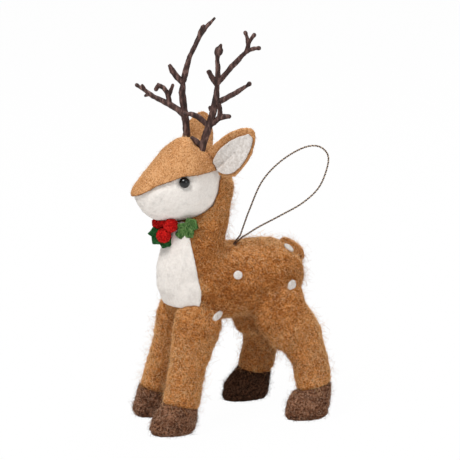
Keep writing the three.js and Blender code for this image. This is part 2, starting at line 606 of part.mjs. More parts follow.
function ear(side, lengthShare, direction, facing) {
  const aside = vec(side * OUTSIDE, headY(lengthShare), headZ(0.758));
  const root = meet(crownSurface, aside, aside.clone().setX(0)).point;
  const along = direction.clone().normalize();
  const frame = frameAt(root.addScaledVector(along, -1.5), along, facing);
  const set = (geometry) => mainBody(solid(geometry.applyMatrix4(frame)).subtract(earRoom));
  const bent = { curl: EAR_CURL_RADIUS, bend: EAR_BEND };
  const turned = (edge) => edge.map(([u, low, high]) => (side > 0 ? [u, low, high] : [u, high, low]));
  const lift = (EAR_FELT + LINING_FELT) / 2 + GAP;
  const outer = leaf(EAR_LENGTH, EAR_WIDTH, EAR_FELT, { ...bent, edge: turned(EAR_EDGE) });
  const lining = leaf(LINING_LENGTH, LINING_WIDTH, LINING_FELT,
    { ...bent, edge: turned(LINING_EDGE), lift, start: LINING_START });
  return { outer: set(outer), lining: set(lining) };
}

const leftEar = ear(1, 0.843, vec(0.54, 0.51, 0.67), vec(0.75, -0.655, -0.1));
const rightEar = ear(-1, 0.8, vec(-0.55, 0.45, 0.7), vec(-0.97, 0.05, -0.15));

// Holly: felt berries and leaves under the chin, measured from the front of the throat
const throatFront = vec(0, CHEST_Y - OUTSIDE, CHIN_Z - 4);
const throat = meet(surface(bibTop), throatFront, throatFront.clone().setY(0)).point;
const BERRIES = [[3, -2.4, 0.2], [1.4, -1.5, 5.4], [-1.6, -2.2, 3.6], [4.6, -0.4, 4]];
const berries = [];
let hollyRoom = bibTop.add(egg(GAP));
for (const offset of BERRIES) {
  const centre = vec(...offset).add(throat);
  berries.push(mainBody(ball(centre, BERRY_DIAMETER / 2).subtract(hollyRoom)));
  hollyRoom = hollyRoom.add(ball(centre, BERRY_DIAMETER / 2 + GAP));
}

const HOLLY_EDGE = [[0, 0.5, 0.5], [0.2, 0.85, 0.85], [0.5, 1, 1], [0.75, 0.85, 0.85], [0.92, 0.5, 0.5],
  [1, 0.1, 0.1]];
function hollyLeaf(offset, along, facing, thickness) {
  const flat = leaf(LEAF_LENGTH, LEAF_WIDTH, thickness, { edge: HOLLY_EDGE, curl: 8, bend: 0.01, teeth: 3 });
  return solid(flat.applyMatrix4(frameAt(vec(...offset).add(throat), along, facing)));
}
const leftLeaf = [[5.9, 2.3, -0.4], vec(0.35, 0.55, 0.75), vec(0.8, -0.58, -0.1)];
const rightLeaf = [[-1.1, -5.5, 1.7], vec(0.45, 0.65, -0.61), vec(0.89, -0.4, 0.23)];
const leafLeft = mainBody(hollyLeaf(...leftLeaf, LEAF_FELT).subtract(hollyRoom));
const leftLeafRoom = hollyLeaf(...leftLeaf, LEAF_FELT + 2 * GAP);
const leafRight = mainBody(hollyLeaf(...rightLeaf, LEAF_FELT).subtract(hollyRoom).subtract(leftLeafRoom));

// Spots: small felt discs on the flanks, placed by their shares of the torso's length and height
const SPOTS = {
  shoulder: { lengthShare: 0.28, heightShare: 0.16, stretch: 1.5, turn: 0.5 },
  flank: { lengthShare: 0.432, heightShare: 0.665, stretch: 1.05, turn: 0 },
  haunch: { lengthShare: 0.825, heightShare: 0.453, stretch: 1.1, turn: 0 },
  rump: { lengthShare: 0.862, heightShare: 0.872, stretch: 1.4, turn: -0.5 },
};
const coatSurface = surface(joined([bodyOuter, ...Object.values(wool), tailWool]));
const spotProfile = [[0, 0], [1, 0], [1, 0.5], [0.8, 0.9], [0, 1]]
  .map(([r, h]) => new THREE.Vector2((r * SPOT_DIAMETER) / 2, h * SPOT_FELT));

function spot(side, { lengthShare, heightShare, stretch, turn }) {
  const aside = vec(side * OUTSIDE, torsoY(lengthShare), torsoZ(heightShare));
  const { point, normal } = meet(coatSurface, aside, aside.clone().setX(0));
  const disc = new THREE.LatheGeometry(spotProfile, 10).rotateX(Math.PI / 2).scale(1, stretch, 1);
  const frame = frameAt(point.addScaledVector(normal, GAP), normal, vec(0, Math.cos(turn), Math.sin(turn)));
  return mainBody(solid(disc.applyMatrix4(frame)).subtract(legRoom).subtract(bodyRoom));
}

// Hanging cord: two strands laid together as they leave the back, then one open loop
const strandFoot = hangerSeat.clone().add(vec(0, 0, CORD_DIAMETER + 0.4));
const strandFork = strandFoot.clone().add(vec(0, 2, 1.4));
const strandPair = joined([
  ball(strandFoot, CORD_DIAMETER),
  ball(strandFork, CORD_DIAMETER),
  tube([strandFoot, strandFork], 2 * CORD_DIAMETER, 1, 8),
]);
const LOOP = [
  [-0.45, 0.4, 0.8], [-0.4, 2, 5], [-0.3, 4, 10], [-0.2, 8.7, 19.6], [-0.1, 15.8, 26.3], [0, 24.6, 30.6],
  [0, 31, 30.8], [0, 34.9, 27.4], [0, 34.6, 22.2], [0, 31.3, 15.4], [0.1, 24.8, 10.4], [0.2, 15.9, 6.6],
  [0.3, 7.2, 3.2], [0.4, 3, 1.2], [0.45, 0.9, 0.3],
];
const loopCord = tube(LOOP.map((p) => vec(...p).add(strandFork)), CORD_DIAMETER, 38, 8);

// The ornament, with every piece in its own node
const ornament = new THREE.Group();
function add(name, body, material) {
  const piece = new THREE.Mesh(surface(body), material);
  piece.name = name;
  ornament.add(piece);
}

add("torso_core", bodyCore, foam);
add("body_felt", bodyFelt, caramelWool);
add("front_leg_wire", frontWire, steelWire);
add("hind_leg_wire", hindWire, steelWire);
for (const [name, one] of Object.entries(legs)) {
  add(`${name}_leg`, wool[name], caramelWool);
  add(`${name}_hoof`, hoof(one), hoofWool);
}
add("tail", tailWool, caramelWool);
add("chest_bib", chestBib, whiteFelt);
add("neck_peg", neckPeg, dowelWood);
add("head_core", headCore, foam);
add("face_felt", faceFelt, whiteFelt);
add("crown_felt", crownFelt, caramelFelt);
add("left_eye", eyes[0], blackBead);
add("right_eye", eyes[1], blackBead);
add("left_antler", leftAntler.body, twigBrown);
add("right_antler", rightAntler.body, twigBrown);
add("left_ear", leftEar.outer, caramelFelt);
add("left_ear_lining", leftEar.lining, whiteFelt);
add("right_ear", rightEar.outer, caramelFelt);
add("right_ear_lining", rightEar.lining, whiteFelt);
berries.forEach((body, i) => add(`holly_berry_${i + 1}`, body, redFelt));
add("holly_leaf_left", leafLeft, greenFelt);
add("holly_leaf_right", leafRight, darkGreenFelt);
for (const [name, one] of Object.entries(SPOTS)) {
  add(`left_${name}_spot`, spot(1, one), whiteFelt);
  add(`right_${name}_spot`, spot(-1, one), whiteFelt);
}
add("hanger_knot", knot(0), cordBraid);

// The origin lies under the middle of the ornament; the free cord does not count for it
const box = new THREE.Box3().setFromObject(ornament);
const middle = box.getCenter(vec(0, 0, 0));
ornament.position.set(-middle.x, -middle.y, -box.min.z);
add("hanger_strands", strandPair, cordBraid);
add("hanger_loop", loopCord, cordBraid);

const whole = new THREE.Group();
whole.add(ornament);
export default whole;
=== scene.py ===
"""Looks of a standing felt fawn ornament: brushed wool, cut felt, twig antlers and a twisted hanging cord.

Metres, +Z up; the animal looks along -Y and its left side is +X.
"""

import math

import bmesh
import bpy
import numpy as np
from mathutils import Matrix, Vector, noise
from mathutils.bvhtree import BVHTree


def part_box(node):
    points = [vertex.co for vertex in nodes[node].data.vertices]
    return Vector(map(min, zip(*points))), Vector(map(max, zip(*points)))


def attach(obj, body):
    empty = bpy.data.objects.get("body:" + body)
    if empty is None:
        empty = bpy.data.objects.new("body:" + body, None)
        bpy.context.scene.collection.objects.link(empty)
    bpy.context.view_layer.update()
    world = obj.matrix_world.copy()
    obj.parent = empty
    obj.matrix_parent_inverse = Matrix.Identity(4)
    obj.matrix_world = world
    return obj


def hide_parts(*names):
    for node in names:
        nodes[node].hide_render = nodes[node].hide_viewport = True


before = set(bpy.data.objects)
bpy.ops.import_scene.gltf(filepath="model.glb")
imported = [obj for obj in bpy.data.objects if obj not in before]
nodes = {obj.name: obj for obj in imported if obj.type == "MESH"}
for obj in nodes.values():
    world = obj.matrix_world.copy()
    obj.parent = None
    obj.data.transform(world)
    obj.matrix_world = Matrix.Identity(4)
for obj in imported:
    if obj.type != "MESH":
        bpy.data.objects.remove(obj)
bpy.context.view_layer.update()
MM = 0.001
FIGURE = "figure"

# Camera: the photograph's angle, with the lens that gives its width at the target
CAMERA_AZIMUTH = 66
CAMERA_ELEVATION = 13.5
CAMERA_DISTANCE = 600 * MM
CAMERA_TARGET = Vector((11.8, -3.3, 72.5)) * MM
VIEW_WIDTH = 161 * MM
SENSOR = 36

# Head: its length from the nose back, its height from the chin up, its felts and the dimples round the eyes
HEAD_LENGTH = 32.5 * MM
HEAD_HEIGHT = 28.1 * MM
FACE_FELT = 1.1 * MM
CROWN_FELT = 1.0 * MM
CROWN_GAP = 0.25 * MM
CROWN_TUCK = 2 * MM
EYE_DIMPLE_REACH = 3.4 * MM
EYE_DIMPLE_DEPTH = 0.9 * MM

# Crown felt's lower edge from before the nose to behind the ears, as shares of the head's length and height
CROWN_EDGE_BACK = (-0.31, 0, 0.19, 0.44, 0.83, 1.62)
CROWN_EDGE_UP = (0.25, 0.362, 0.512, 0.633, 0.662, 0.698)

# Tail: its seam with the rump, from the middle of the tail
TAIL_SEAM = (0, -2, -1)
TAIL_SEAM_REACH = 5 * MM

# Spots: how many radii round each the wool is pressed in, how deep, and each stretch level and upward
SPOT_PRESS = 1.6
SPOT_SINK = 0.45 * MM
SPOT_STRETCH = {"shoulder": (1.3, 0.85), "haunch": (1.2, 1.4)}

# Search for the wool under a spot: how far outside it starts and how far in it looks
RAY_START = 5 * MM
RAY_REACH = 12 * MM

# Ears: which way each stands out of the head and which way its lining faces, and the crease up from its base
EAR_ALONG = {"left": (0.54, 0.51, 0.67), "right": (-0.55, 0.45, 0.7)}
EAR_FACING = {"left": (0.75, -0.655, -0.1), "right": (-0.97, 0.05, -0.15)}
CREASE_LENGTH = 9 * MM
CREASE_WIDTH = 0.7 * MM
CREASE_DEPTH = 1.1 * MM
CREASE_BASE = 1.5 * MM

# Antlers: where each leaves the crown, then its stem, buds and tips: a place from there, a reach, a swelling
ANTLER_SEAT = {"left": (5.4, -11.1, 101), "right": (-7, -11.1, 100.9)}
KNOBS = {
    "left": [
        ((6, 3.8, 34.4), 1.9, 0.6), ((3.1, 1.3, 27.4), 1.2, 0.25), ((13.6, 15.6, 35.8), 1.3, 0.35),
        ((11.1, 11.5, 41.2), 1.3, 0.35), ((13.1, 14, 40.5), 1.3, 0.35), ((10.1, 13.7, 23.3), 1.5, 0.45),
        ((6.1, 7.9, 11.7), 1, 0.15), ((1.5, 0.7, 11), 17, 0.24),
    ],
    "right": [
        ((-5, 7.4, 38.8), 1.6, 0.3), ((-11.8, -14.8, 20), 1.2, 0.25), ((-6.5, -9.3, 19.2), 1.3, 0.35),
        ((-1, 0.5, 12), 17, 0.24),
    ],
}

# Hanging cord: its two threads, the fork where its strands part, its foot in the back and its route round
CORD_DIAMETER = 0.6 * MM
CORD_PITCH = 1.5 * MM
CORD_STEP = CORD_PITCH / 10
CURVE_STEPS = 40
THREAD_RADIUS = CORD_DIAMETER / 3
THREAD_SPREAD = 0.9
THREAD_SIDES = 6
ACROSS_HINT = (1, 0, 0.001)
STRANDS_APART = 0.3 * MM
CORD_FORK = Vector((1.6, 5.089, 66.67)) * MM
CORD_FOOT = Vector((1.6, 2.6, 64.3)) * MM
CORD_ROUTE = [
    (-0.45, 0.4, 0.8), (-0.4, 2, 5), (-0.3, 4, 10), (-0.2, 8.7, 19.6), (-0.1, 15.8, 26.3), (0, 24.6, 30.6),
    (0, 31, 30.8), (0, 34.9, 27.4), (0, 34.6, 22.2), (0, 31.3, 15.4), (0.1, 24.8, 10.4), (0.2, 15.9, 6.6),
    (0.3, 7.2, 3.2), (0.4, 3, 1.2), (0.45, 0.9, 0.3),
]


def colour(red, green, blue):
    """A colour from its 0 to 255 display values, as a shader takes it."""
    linear = []
    for value in (red, green, blue):
        share = value / 255
        linear.append(share / 12.92 if share <= 0.04045 else ((share + 0.055) / 1.055) ** 2.4)
    return (*linear, 1)


# Materials
PATCH_SIZE = 9
PATCH_SHARE = 0.35
FELT_STOPS = (0.34, 0.5, 0.66)


def new_material(name):
    material = bpy.data.materials.new(name)
    material.use_nodes = True
    return material, material.node_tree, material.node_tree.nodes["Principled BSDF"]


def noise_node(tree, size, detail=3, stretch=None):
    """A noise pattern in the object's own coordinates, with features of about the given size."""
    place = tree.nodes.new("ShaderNodeTexCoord")
    pattern = tree.nodes.new("ShaderNodeTexNoise")
    pattern.inputs["Scale"].default_value = 1 / size
    pattern.inputs["Detail"].default_value = detail
    source = place.outputs["Object"]
    if stretch:
        mapping = tree.nodes.new("ShaderNodeMapping")
        mapping.inputs["Scale"].default_value = stretch
        tree.links.new(source, mapping.inputs["Vector"])
        source = mapping.outputs["Vector"]
    tree.links.new(source, pattern.inputs["Vector"])
    return pattern


def ramp_node(tree, source, stops):
    ramp = tree.nodes.new("ShaderNodeValToRGB")
    while len(ramp.color_ramp.elements) < len(stops):
        ramp.color_ramp.elements.new(0.5)
    for element, (at, shade) in zip(ramp.color_ramp.elements, stops):
        element.position = at
        element.color = shade
    tree.links.new(source, ramp.inputs["Fac"])
    return ramp


def bump_from(tree, shader, height, distance):
    bump = tree.nodes.new("ShaderNodeBump")
    bump.inputs["Distance"].default_value = distance
    bump.inputs["Strength"].default_value = 1
    tree.links.new(height, bump.inputs["Height"])
    tree.links.new(bump.outputs["Normal"], shader.inputs["Normal"])


def fabric(name, shades, grain, relief, sheen=0.25):
    """Felt or wool: three shades mixed by a fine grain over broad patches, with a bump of the same grain."""
    material, tree, shader = new_material(name)
    fine = noise_node(tree, grain, detail=4)
    broad = noise_node(tree, grain * PATCH_SIZE, detail=2)
    mix = tree.nodes.new("ShaderNodeMath")
    mix.operation = "MULTIPLY_ADD"
    mix.inputs[1].default_value = PATCH_SHARE
    tree.links.new(broad.outputs["Fac"], mix.inputs[0])
    lower = tree.nodes.new("ShaderNodeMath")
    lower.operation = "SUBTRACT"
    lower.inputs[1].default_value = PATCH_SHARE / 2
    tree.links.new(fine.outputs["Fac"], lower.inputs[0])
    tree.links.new(lower.outputs[0], mix.inputs[2])
    stops = [(at, colour(*shade)) for at, shade in zip(FELT_STOPS, shades)]
    ramp = ramp_node(tree, mix.outputs[0], stops)
    tree.links.new(ramp.outputs["Color"], shader.inputs["Base Color"])
    bump_from(tree, shader, fine.outputs["Fac"], relief)
    shader.inputs["Roughness"].default_value = 0.95
    shader.inputs["Specular IOR Level"].default_value = 0.1
    shader.inputs["Sheen Weight"].default_value = sheen
    shader.inputs["Sheen Roughness"].default_value = 0.5
    shader.inputs["Sheen Tint"].default_value = colour(*shades[-1])
    return material


def fibre_shades(name, shades, sheen=0.0):
    """One plain material for each shade of a tuft, because a single hair has one colour along its length."""
    made = []
    for number, shade in enumerate(shades, 1):
        material, _, shader = new_material(f"{name}_{number}")
        shader.inputs["Base Color"].default_value = colour(*shade)
        shader.inputs["Roughness"].default_value = 0.9
        shader.inputs["Specular IOR Level"].default_value = 0.1
        shader.inputs["Sheen Weight"].default_value = sheen
        shader.inputs["Sheen Roughness"].default_value = 0.45
        shader.inputs["Sheen Tint"].default_value = colour(*SHEEN)
        made.append(material)
    return made


def bark(name):
    """Moulded twig: brown streaks, painted darker where the bump is low as shade in its creases, with a low
    shine.
    """
    material, tree, shader = new_material(name)
    streaks = noise_node(tree, size=1.1 * MM, stretch=(1, 1, 0.3))
    stops = [(0.36, colour(42, 27, 23)), (0.52, colour(70, 47, 42)), (0.7, colour(122, 94, 86))]
    ramp = ramp_node(tree, streaks.outputs["Fac"], stops)
    tree.links.new(ramp.outputs["Color"], shader.inputs["Base Color"])
    bump_from(tree, shader, streaks.outputs["Fac"], distance=0.25 * MM)
    shader.inputs["Roughness"].default_value = 0.55
    shader.inputs["Specular IOR Level"].default_value = 0.25
    return material


def bead(name):
    """Polished black bead with the faint cloud of moulded resin."""
    material, tree, shader = new_material(name)
    cloud = noise_node(tree, size=1.5 * MM)
    stops = [(0.35, colour(2, 2, 2)), (0.65, colour(7, 6, 8))]
    ramp = ramp_node(tree, cloud.outputs["Fac"], stops)
    tree.links.new(ramp.outputs["Color"], shader.inputs["Base Color"])
    shader.inputs["Roughness"].default_value = 0.04
    shader.inputs["Specular IOR Level"].default_value = 0.5
    return material


def thread(name, dark, light, metal):
    material, tree, shader = new_material(name)
    glint = noise_node(tree, size=0.25 * MM)
    ramp = ramp_node(tree, glint.outputs["Fac"], [(0.4, colour(*dark)), (0.6, colour(*light))])
    tree.links.new(ramp.outputs["Color"], shader.inputs["Base Color"])
    shader.inputs["Metallic"].default_value = metal
    shader.inputs["Roughness"].default_value = 0.45
    return material


def grainy(name, dark, light, size, roughness, metal=0.0, stretch=None):
    """Inner pieces: foam, wire and dowel."""
    material, tree, shader = new_material(name)
    grain = noise_node(tree, size, stretch=stretch)
    ramp = ramp_node(tree, grain.outputs["Fac"], [(0.35, colour(*dark)), (0.65, colour(*light))])
    tree.links.new(ramp.outputs["Color"], shader.inputs["Base Color"])
    bump_from(tree, shader, grain.outputs["Fac"], size * 0.2)
    shader.inputs["Roughness"].default_value = roughness
    shader.inputs["Metallic"].default_value = metal
    return material


SHEEN = (255, 190, 120)
CARAMEL = ((126, 69, 28), (182, 111, 53), (222, 154, 90))
CROWN = ((160, 106, 61), (192, 138, 90), (216, 164, 115))
WHITE = ((230, 223, 216), (235, 228, 221), (240, 234, 227))
# Bib: a slightly darker copy of the face's white felt, painted shade that takes down how bright the lamps
# make it
SHADED_BIB_WHITE = ((221, 214, 207), (227, 220, 213), (233, 227, 220))
# Ear linings: white felt greyer than the face, partly its own greyish tone and partly painted shade in the
# curl of the ear
GREYISH_SHADED_WHITE = ((192, 184, 177), (206, 199, 193), (220, 214, 209))
SPOT_WHITE = ((203, 196, 190), (217, 211, 205), (230, 225, 220))
HOOF = ((52, 30, 20), (108, 70, 49), (164, 118, 90))
# Far hind hoof: darker, partly its own darker wool and partly painted shade under the belly
DARK_SHADED_HOOF = ((30, 17, 11), (68, 43, 30), (108, 75, 56))
RED = ((130, 6, 8), (180, 12, 13), (216, 44, 37))
GREEN = ((46, 80, 38), (72, 110, 56), (106, 142, 80))
DARK_GREEN = ((18, 52, 26), (32, 78, 38), (52, 102, 56))

wool = fabric("caramel_wool", CARAMEL, grain=0.7 * MM, relief=0.5 * MM, sheen=0.4)
crown_cloth = fabric("caramel_felt", CROWN, grain=0.55 * MM, relief=0.3 * MM)
white_cloth = fabric("white_felt", WHITE, grain=0.8 * MM, relief=0.1 * MM, sheen=0.15)
# painted shade: darker copy of the white felt for the bib
shaded_bib_cloth = fabric("shaded_bib_white_felt", SHADED_BIB_WHITE, grain=0.8 * MM, relief=0.1 * MM, sheen=0.15)
# partly greyish felt, partly painted shade inside the ear
greyish_shaded_cloth = fabric("shaded_white_felt", GREYISH_SHADED_WHITE, grain=0.8 * MM, relief=0.2 * MM, sheen=0.15)
spot_cloth = fabric("spot_felt", SPOT_WHITE, grain=0.6 * MM, relief=0.2 * MM, sheen=0.15)
hoof_wool = fabric("hoof_wool", HOOF, grain=0.8 * MM, relief=0.5 * MM)
dark_shaded_hoof_wool = fabric("dark_shaded_hoof_wool", DARK_SHADED_HOOF, grain=0.8 * MM, relief=0.5 * MM)
red_cloth = fabric("red_felt", RED, grain=0.5 * MM, relief=0.4 * MM, sheen=0.1)
green_cloth = fabric("green_felt", GREEN, grain=0.6 * MM, relief=0.4 * MM, sheen=0.1)
dark_green_cloth = fabric("dark_green_felt", DARK_GREEN, grain=0.5 * MM, relief=0.3 * MM, sheen=0.1)
twig_bark = bark("twig_bark")
eye_bead = bead("eye_bead")
dark_thread = thread("dark_thread", dark=(44, 27, 20), light=(80, 55, 42), metal=0.2)
light_thread = thread("light_thread", dark=(150, 126, 104), light=(212, 192, 168), metal=0.6)
brown_thread = thread("brown_thread", dark=(92, 58, 38), light=(132, 90, 62), metal=0.2)

coat_hairs = fibre_shades("coat_hair", ((96, 48, 17), (186, 110, 50), (242, 182, 118)), sheen=0.35)
curl_hairs = fibre_shades("curl_hair", ((180, 106, 50), (232, 164, 98), (250, 204, 148)), sheen=0.35)
# Down hairs: much paler than the wool, partly pale fuzz and partly painted rim light and sheen
down_and_rim_light_hairs = fibre_shades("down_hair", ((234, 176, 116), (248, 202, 150), (254, 226, 190)), sheen=0.35)
halo_hairs = fibre_shades("halo_hair", ((164, 106, 60), (204, 148, 96), (236, 192, 146)), sheen=0.3)
crown_hairs = fibre_shades("crown_hair", ((170, 114, 66), (206, 152, 100), (232, 188, 140)), sheen=0.3)
# Crown's lower edge: darker brown hairs, partly the felt's darker cut edge and partly a painted shadow line
# along it
edge_hairs = fibre_shades("edge_hair", ((112, 62, 28), (150, 92, 48), (188, 126, 76)))
white_hairs = fibre_shades("white_hair", ((222, 215, 208), (236, 232, 227), (246, 244, 241)))
hoof_hairs = fibre_shades("hoof_hair", ((64, 40, 28), (126, 86, 62), (200, 160, 132)))
# hairs of the far hind hoof: partly darker wool, partly painted shade
dark_shaded_hoof_hairs = fibre_shades("dark_shaded_hoof_hair", ((38, 23, 15), (76, 50, 35), (126, 96, 76)))
red_hairs = fibre_shades("red_hair", ((160, 10, 12), (204, 22, 20), (228, 60, 52)))
green_hairs = fibre_shades("green_hair", ((34, 66, 28), (84, 124, 64), (150, 180, 118)))
dark_green_hairs = fibre_shades("dark_green_hair", ((22, 60, 30), (38, 86, 44), (60, 112, 64)))


# Meshes
WELD = 0.001 * MM
SMOOTHING = 0.5
NOISE_SHIFT = (1, 0.37, 0.71)
FELT_EDGE_SHARE = 0.22
FELT_EDGE_ANGLE = 50


def new_object(name, mesh):
    made = bpy.data.objects.new(name, mesh)
    bpy.context.scene.collection.objects.link(made)
    return made


def settle(piece):
    """Applies a piece's modifiers to its mesh."""
    shown = piece.evaluated_get(bpy.context.evaluated_depsgraph_get())
    mesh = bpy.data.meshes.new_from_object(shown)
    piece.modifiers.clear()
    piece.data = mesh
    mesh.polygons.foreach_set("use_smooth", [True] * len(mesh.polygons))


def node_copy(sources, hull=False):
    """The solids of some nodes as one welded bmesh, or their convex hull."""
    form = bmesh.new()
    for source in sources:
        form.from_mesh(nodes[source].data)
    bmesh.ops.remove_doubles(form, verts=form.verts, dist=WELD)
    if hull:
        made = bmesh.ops.convex_hull(form, input=form.verts)
        loose = {v for v in made["geom_interior"] + made["geom_unused"] if isinstance(v, bmesh.types.BMVert)}
        bmesh.ops.delete(form, geom=list(loose), context="VERTS")
        holes = [f for f in made["geom_holes"] if f.is_valid and isinstance(f, bmesh.types.BMFace)]
        bmesh.ops.delete(form, geom=holes, context="FACES")
    return form


def drop_specks(piece, share=0.02):
    """Removes the closed bubbles that a remesh leaves in the gaps between neighbours."""
    form = bmesh.new()
    form.from_mesh(piece.data)
    form.faces.ensure_lookup_table()
    unseen = set(form.faces)
    total = len(unseen)
    while unseen:
        island = [unseen.pop()]
        for face in island:
            for edge in face.edges:
                for other in edge.link_faces:
                    if other in unseen:
                        unseen.remove(other)
                        island.append(other)
        if len(island) < share * total:
            bmesh.ops.delete(form, geom=island, context="FACES")
    form.to_mesh(piece.data)
    form.free()


def soft_form(name, sources, voxel, rounds, hull=False):
    """Solids grown together into one soft skin: an even mesh whose facets and joins are smoothed out."""
    form = node_copy(sources, hull)
    mesh = bpy.data.meshes.new(name)
    form.to_mesh(mesh)
    form.free()
    piece = new_object(name, mesh)
    even = piece.modifiers.new("even", "REMESH")
    even.mode = "VOXEL"
    even.voxel_size = voxel
    soft = piece.modifiers.new("soft", "SMOOTH")
    soft.factor = SMOOTHING
    soft.iterations = rounds
    settle(piece)
    drop_specks(piece)
    return piece


def points_of(mesh):
    places = np.empty(len(mesh.vertices) * 3, np.float32)
    mesh.vertices.foreach_get("co", places)
    return places.reshape(-1, 3).astype(float)


def normals_of(mesh):
    ways = np.empty(len(mesh.vertices) * 3, np.float32)
    mesh.vertex_normals.foreach_get("vector", ways)
    return ways.reshape(-1, 3).astype(float)


def move_points(mesh, places):
    mesh.vertices.foreach_set("co", places.astype(np.float32).ravel())
    mesh.update()


def ruffle(piece, height, size, seed):
    """Lumps of felted fibre: moves the surface in and out by a noise of the given size."""
    mesh = piece.data
    places = points_of(mesh)
    shift = Vector([share * seed for share in NOISE_SHIFT])
    lumps = np.array([noise.noise(Vector(p) / size + shift) for p in places])
    move_points(mesh, places + normals_of(mesh) * (lumps * height)[:, None])


def swell(piece, amount):
    """Gives back what smoothing took from a thin piece."""
    move_points(piece.data, points_of(piece.data) + normals_of(piece.data) * amount)


def swell_near(piece, middle, reach, amount):
    """Swells a piece round a point."""
    places = points_of(piece.data)
    away = np.linalg.norm(places - np.array(middle), axis=1) / reach
    move_points(piece.data, places + normals_of(piece.data) * (amount * np.clip(1 - away**2, 0, 1))[:, None])


def smooth_near(piece, middle, reach, rounds):
    """Smooths a piece round a point."""
    away = np.linalg.norm(points_of(piece.data) - np.array(middle), axis=1) / reach
    group = piece.vertex_groups.new(name="near")
    for number in np.flatnonzero(away < 1):
        group.add([int(number)], 1 - away[number] ** 4, "REPLACE")
    soft = piece.modifiers.new("soft", "SMOOTH")
    soft.factor = SMOOTHING
    soft.iterations = rounds
    soft.vertex_group = "near"
    settle(piece)
    piece.vertex_groups.clear()


def trim(piece, height_of):
    """Cuts a mesh cleanly where a height over its points is zero, and keeps what lies above."""
    form = bmesh.new()
    form.from_mesh(piece.data)
    level = {v: height_of(v.co) for v in form.verts}
    for edge in list(form.edges):
        start, end = edge.verts
        low, high = level[start], level[end]
        if low * high < 0:
            _, made = bmesh.utils.edge_split(edge, start, low / (low - high))
            level[made] = 0
    for face in list(form.faces):
        on_line = [v for v in face.verts if level[v] == 0]
        if len(on_line) != 2:
            continue
        start, end = on_line
        if not any(edge.other_vert(start) == end for edge in start.link_edges):
            bmesh.utils.face_split(face, start, end)
    below = [v for v in form.verts if level[v] < 0]
    bmesh.ops.delete(form, geom=below, context="VERTS")
    form.to_mesh(piece.data)
    form.free()


def thicken(piece, thickness, outward):
    """Makes felt of a surface, with soft cut edges."""
    felt = piece.modifiers.new("felt", "SOLIDIFY")
    felt.thickness = thickness
    felt.offset = 1 if outward else -1
    felt.use_even_offset = True
    soft = piece.modifiers.new("edge", "BEVEL")
    soft.width = thickness * FELT_EDGE_SHARE
    soft.segments = 2
    soft.limit_method = "ANGLE"
    soft.angle_limit = math.radians(FELT_EDGE_ANGLE)
    settle(piece)


def dress(piece, material, slot, *replaced):
    """Gives a piece its material and its place on the figure."""
    piece.data.materials.clear()
    piece.data.materials.append(material)
    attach(piece, FIGURE)
    if replaced:
        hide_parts(*replaced)
    return piece


# Fibres

FIBRE_STEPS = 3
FIBRES_IN_A_PIECE = 9500
FLAT_RISE = (0, 0.8, 1, 0.55)
STRAY_RISE = (0, 0.25, 0.6, 1)
FLAT_RANGE = (0.3, 1)
STRAY_RANGE = (0.25, 1)
STRAY_SWAY = 0.1
ROOT_DEPTH = 0.1 * MM
TIP_SHARE = 0.35
FLOOR_CLEARANCE = 0.02 * MM
COVER_DEPTH = 0.3 * MM
COVER_REACH = 2.5 * MM
SHADE_SPREAD = 0.16
TINY = 1e-12


def triangles_of(mesh):
    mesh.calc_loop_triangles()
    corners = np.empty(len(mesh.loop_triangles) * 3, np.int32)
    mesh.loop_triangles.foreach_get("vertices", corners)
    return corners.reshape(-1, 3)


def tree_of(*pieces):
    """One search tree over the surfaces of some pieces."""
    places = []
    faces = []
    for piece in pieces:
        start = len(places)
        places += points_of(piece.data).tolist()
        faces += (triangles_of(piece.data) + start).tolist()
    return BVHTree.FromPolygons(places, faces)


def scatter(mesh, faces, density, chance):
    """Points spread evenly over a mesh, given as a number for each square millimetre, with their normals."""
    places = points_of(mesh)
    ways = normals_of(mesh)
    a, b, c = (places[faces[:, i]] for i in range(3))
    area = np.linalg.norm(np.cross(b - a, c - a), axis=1) / 2
    count = int(density * area.sum() / MM**2)
    picked = faces[chance.choice(len(faces), count, p=area / area.sum())]
    share = chance.dirichlet((1, 1, 1), count)[:, :, None]
    normal = (ways[picked] * share).sum(1)
    return (places[picked] * share).sum(1), normal / np.linalg.norm(normal, axis=1)[:, None]


def uncovered(points, normals, cover):
    """True for each point over which no other surface lies close."""
    kept = np.ones(len(points), bool)
    for i, (point, normal) in enumerate(zip(points, normals)):
        way = Vector(normal)
        kept[i] = cover.ray_cast(Vector(point) - way * COVER_DEPTH, way, COVER_REACH)[0] is None
    return kept


def hair_paths(tree, points, normals, length, lift, stray, stray_lift, lie, curl, chance):
    """Lays each hair along the surface with a curl: most lie flat and some stray up from it."""
    count = len(points)
    reach = chance.uniform(*length, count)
    loose = chance.random(count) < stray
    stray_rise = chance.uniform(*STRAY_RANGE, count) * stray_lift
    flat_rise = chance.uniform(*FLAT_RANGE, count) * lift
    rise = np.where(loose, stray_rise, flat_rise)
    sway = chance.normal(0, STRAY_SWAY, (count, FIBRE_STEPS + 1, 3)) * (reach * loose)[:, None, None]
    turn = chance.normal(0, curl, count)
    way = chance.normal(0, 1, (count, 3))
    way /= np.linalg.norm(way, axis=1)[:, None]
    way += np.array(lie)
    paths = np.empty((count, FIBRE_STEPS + 1, 3))
    ups = np.empty_like(paths)
    paths[:, 0] = points - normals * ROOT_DEPTH
    ups[:, 0] = normals
    for i in range(count):
        normal = Vector(normals[i])
        heading = Vector(way[i])
        heading = (heading - normal * heading.dot(normal)).normalized()
        at = Vector(points[i])
        heights = STRAY_RISE if loose[i] else FLAT_RISE
        for k in range(1, FIBRE_STEPS + 1):
            on, normal, _, _ = tree.find_nearest(at + heading * (reach[i] / FIBRE_STEPS))
            heading = on - at
            heading = Matrix.Rotation(turn[i], 3, normal) @ (heading - normal * heading.dot(normal))
            heading.normalize()
            at = on
            paths[i, k] = on + normal * (heights[k] * rise[i])
            ups[i, k] = normal
    sway[:, 0] = 0
    return paths + sway, ups


